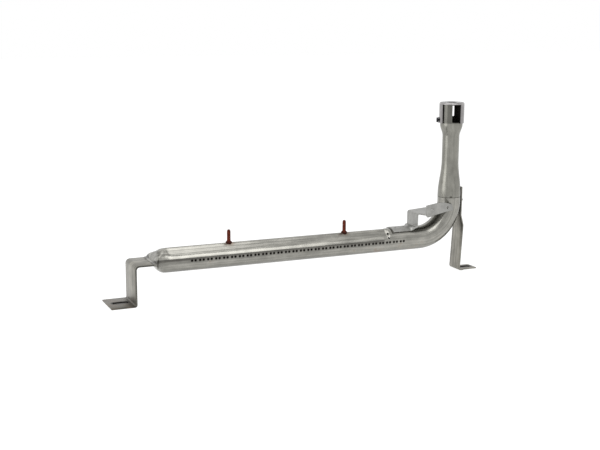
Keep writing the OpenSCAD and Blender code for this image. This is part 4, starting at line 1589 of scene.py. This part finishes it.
def make_floor(settings, slot_place):
    """The plain floor: pale, with the object's soft shadow, and a painted shadow where the feet's slots
    show it.
    """
    bm = bmesh.new()
    bmesh.ops.create_grid(bm, x_segments=2, y_segments=2, size=FLOOR_REACH)
    mesh = bpy.data.meshes.new("floor")
    bm.to_mesh(mesh)
    bm.free()
    floor = bpy.data.objects.new("floor", mesh)
    floor.location.z = -0.1 * MM
    bpy.context.scene.collection.objects.link(floor)
    material = bpy.data.materials.new("floor")
    material.use_nodes = True
    tree = material.node_tree
    shader = tree.nodes["Principled BSDF"]
    shader.inputs["Base Color"].default_value = (*settings.floor, 1.0)
    shader.inputs["Roughness"].default_value = 0.9
    place = tree.nodes.new("ShaderNodeTexCoord").outputs["Object"]
    split = add_node(tree, "ShaderNodeSeparateXYZ", {0: place}).outputs
    # A painted shadow: the glow turns dark under the feet's slots.
    across = math_node(tree, "LESS_THAN", math_node(tree, "ABSOLUTE", split[1]), 8 * MM)
    from_middle = math_node(tree, "ABSOLUTE", split[0])
    along = math_node(tree, "COMPARE", from_middle, slot_place, 11 * MM)
    tint = add_node(tree, "ShaderNodeMix", {
        "Factor": math_node(tree, "MULTIPLY", across, along), "A": WHITE, "B": SLOT_SHADOW},
        data_type="RGBA")
    glow = add_node(tree, "ShaderNodeEmission", {"Color": tint.outputs["Result"], "Strength": 0.9})
    shade = add_node(tree, "ShaderNodeBsdfDiffuse", {"Color": (0.3, 0.3, 0.3, 1.0)})
    seen = add_node(tree, "ShaderNodeAddShader", {0: glow.outputs[0], 1: shade.outputs[0]})
    show_backdrop(tree, shader.outputs[0], seen.outputs[0], "Material Output")
    mesh.materials.append(material)


def make_stage(scene):
    """Camera, world, floor and soft lamps."""
    settings = scene.burner_stage
    data = bpy.data.cameras.new("camera")
    data.lens = settings.lens
    data.sensor_width = 36.0
    data.clip_start, data.clip_end = 0.01, 30.0
    camera = bpy.data.objects.new("camera", data)
    heading = Matrix.Rotation(-settings.yaw, 4, "Z")
    aim = heading @ Matrix.Rotation(math.pi / 2 - settings.pitch, 4, "X")
    roll = Matrix.Rotation(settings.roll, 4, "Z")
    camera.matrix_world = Matrix.Translation(settings.place) @ aim @ roll
    scene.collection.objects.link(camera)
    scene.camera = camera
    scene.view_settings.view_transform = "Standard"
    make_world(scene)
    make_floor(settings, scene.burner_strap_sizes.front_slot - FRONT_X)
    for lamp in LAMPS:
        add_lamp(*lamp)


# ---------- operators and panel ----------

class BURNER_OT_stage(bpy.types.Operator):
    """Make the camera, the floor and the lamps"""
    bl_idname = "burner.make_stage"
    bl_label = "Make Stage"

    def execute(self, context):
        make_stage(context.scene)
        return {"FINISHED"}


class BURNER_OT_tube(bpy.types.Operator):
    """Make the ported burner tube"""
    bl_idname = "burner.make_tube"
    bl_label = "Make Burner Tube"

    def execute(self, context):
        make_tube(context.scene)
        return {"FINISHED"}


class BURNER_OT_venturi(bpy.types.Operator):
    """Make the venturi with its mixer head"""
    bl_idname = "burner.make_venturi"
    bl_label = "Make Venturi"

    def execute(self, context):
        make_venturi(context.scene)
        return {"FINISHED"}


class BURNER_OT_shutter(bpy.types.Operator):
    """Make the turning air shutter"""
    bl_idname = "burner.make_shutter"
    bl_label = "Make Air Shutter"

    def execute(self, context):
        make_shutter(context.scene)
        return {"FINISHED"}


class BURNER_OT_screws(bpy.types.Operator):
    """Make the rear bracket's screw and the shutter's lock screw"""
    bl_idname = "burner.make_screws"
    bl_label = "Make Screws"

    def execute(self, context):
        scene = context.scene
        sizes = scene.burner_screw_sizes
        make_screw(scene, "rear_bracket_screw_hex", "burner", "rear_bracket_screw",
                   Vector((REAR_X + scene.burner_strap_sizes.thickness, 0, SCREW_Z)),
                   (1, 0, 0), sizes.rear_length)
        make_screw(scene, "shutter_screw_hex", "shutter_screw", "shutter_screw",
                   Vector((UPRIGHT_X, 0, LOCK_Z)) + LOCK_AXIS * sizes.lock_lift,
                   LOCK_AXIS, sizes.lock_length)
        return {"FINISHED"}


class BURNER_OT_studs(bpy.types.Operator):
    """Make the weld studs"""
    bl_idname = "burner.make_studs"
    bl_label = "Make Studs"

    def execute(self, context):
        scene = context.scene
        sizes = scene.burner_stud_sizes
        start = FRONT_X + sizes.start
        make_stud(scene, "front_stud_pin", "front_stud", start)
        make_stud(scene, "rear_stud_pin", "rear_stud", start + sizes.spacing)
        return {"FINISHED"}


class BURNER_OT_straps(bpy.types.Operator):
    """Make the front and the rear strap bracket"""
    bl_idname = "burner.make_straps"
    bl_label = "Make Strap Brackets"

    def execute(self, context):
        make_front_bracket(context.scene)
        make_rear_bracket(context.scene)
        return {"FINISHED"}


class BURNER_OT_igniter_bracket(bpy.types.Operator):
    """Make the folded igniter bracket"""
    bl_idname = "burner.make_igniter_bracket"
    bl_label = "Make Igniter Bracket"

    def execute(self, context):
        make_igniter_bracket(context.scene)
        return {"FINISHED"}


OPERATORS = (BURNER_OT_stage, BURNER_OT_tube, BURNER_OT_venturi, BURNER_OT_shutter, BURNER_OT_screws,
             BURNER_OT_studs, BURNER_OT_straps, BURNER_OT_igniter_bracket)


class BURNER_PT_panel(bpy.types.Panel):
    """The burner's steps and sizes"""
    bl_idname = "BURNER_PT_panel"
    bl_label = "Gas Tube Burner"
    bl_space_type = "VIEW_3D"
    bl_region_type = "UI"
    bl_category = "Burner"

    def draw(self, context):
        for operator in OPERATORS:
            self.layout.operator(operator.bl_idname)
        for key, group in SETTINGS.items():
            box = self.layout.box()
            box.label(text=group.__doc__)
            for name in group.__annotations__:
                box.prop(getattr(context.scene, key), name)


CLASSES = (*SETTINGS.values(), *OPERATORS, BURNER_PT_panel)


def register():
    """Registers the settings, the operators and the panel."""
    for item in CLASSES:
        bpy.utils.register_class(item)
    for key, group in SETTINGS.items():
        setattr(bpy.types.Scene, key, PointerProperty(type=group))


def unregister():
    """Removes the settings, the operators and the panel."""
    for key in SETTINGS:
        delattr(bpy.types.Scene, key)
    for item in reversed(CLASSES):
        bpy.utils.unregister_class(item)


def main():
    """Registers the settings, the operators and the panel, and makes every piece in order."""
    register()
    for operator in OPERATORS:
        family, name = operator.bl_idname.split(".")
        getattr(getattr(bpy.ops, family), name)()


if __name__ == "__main__":
    main()
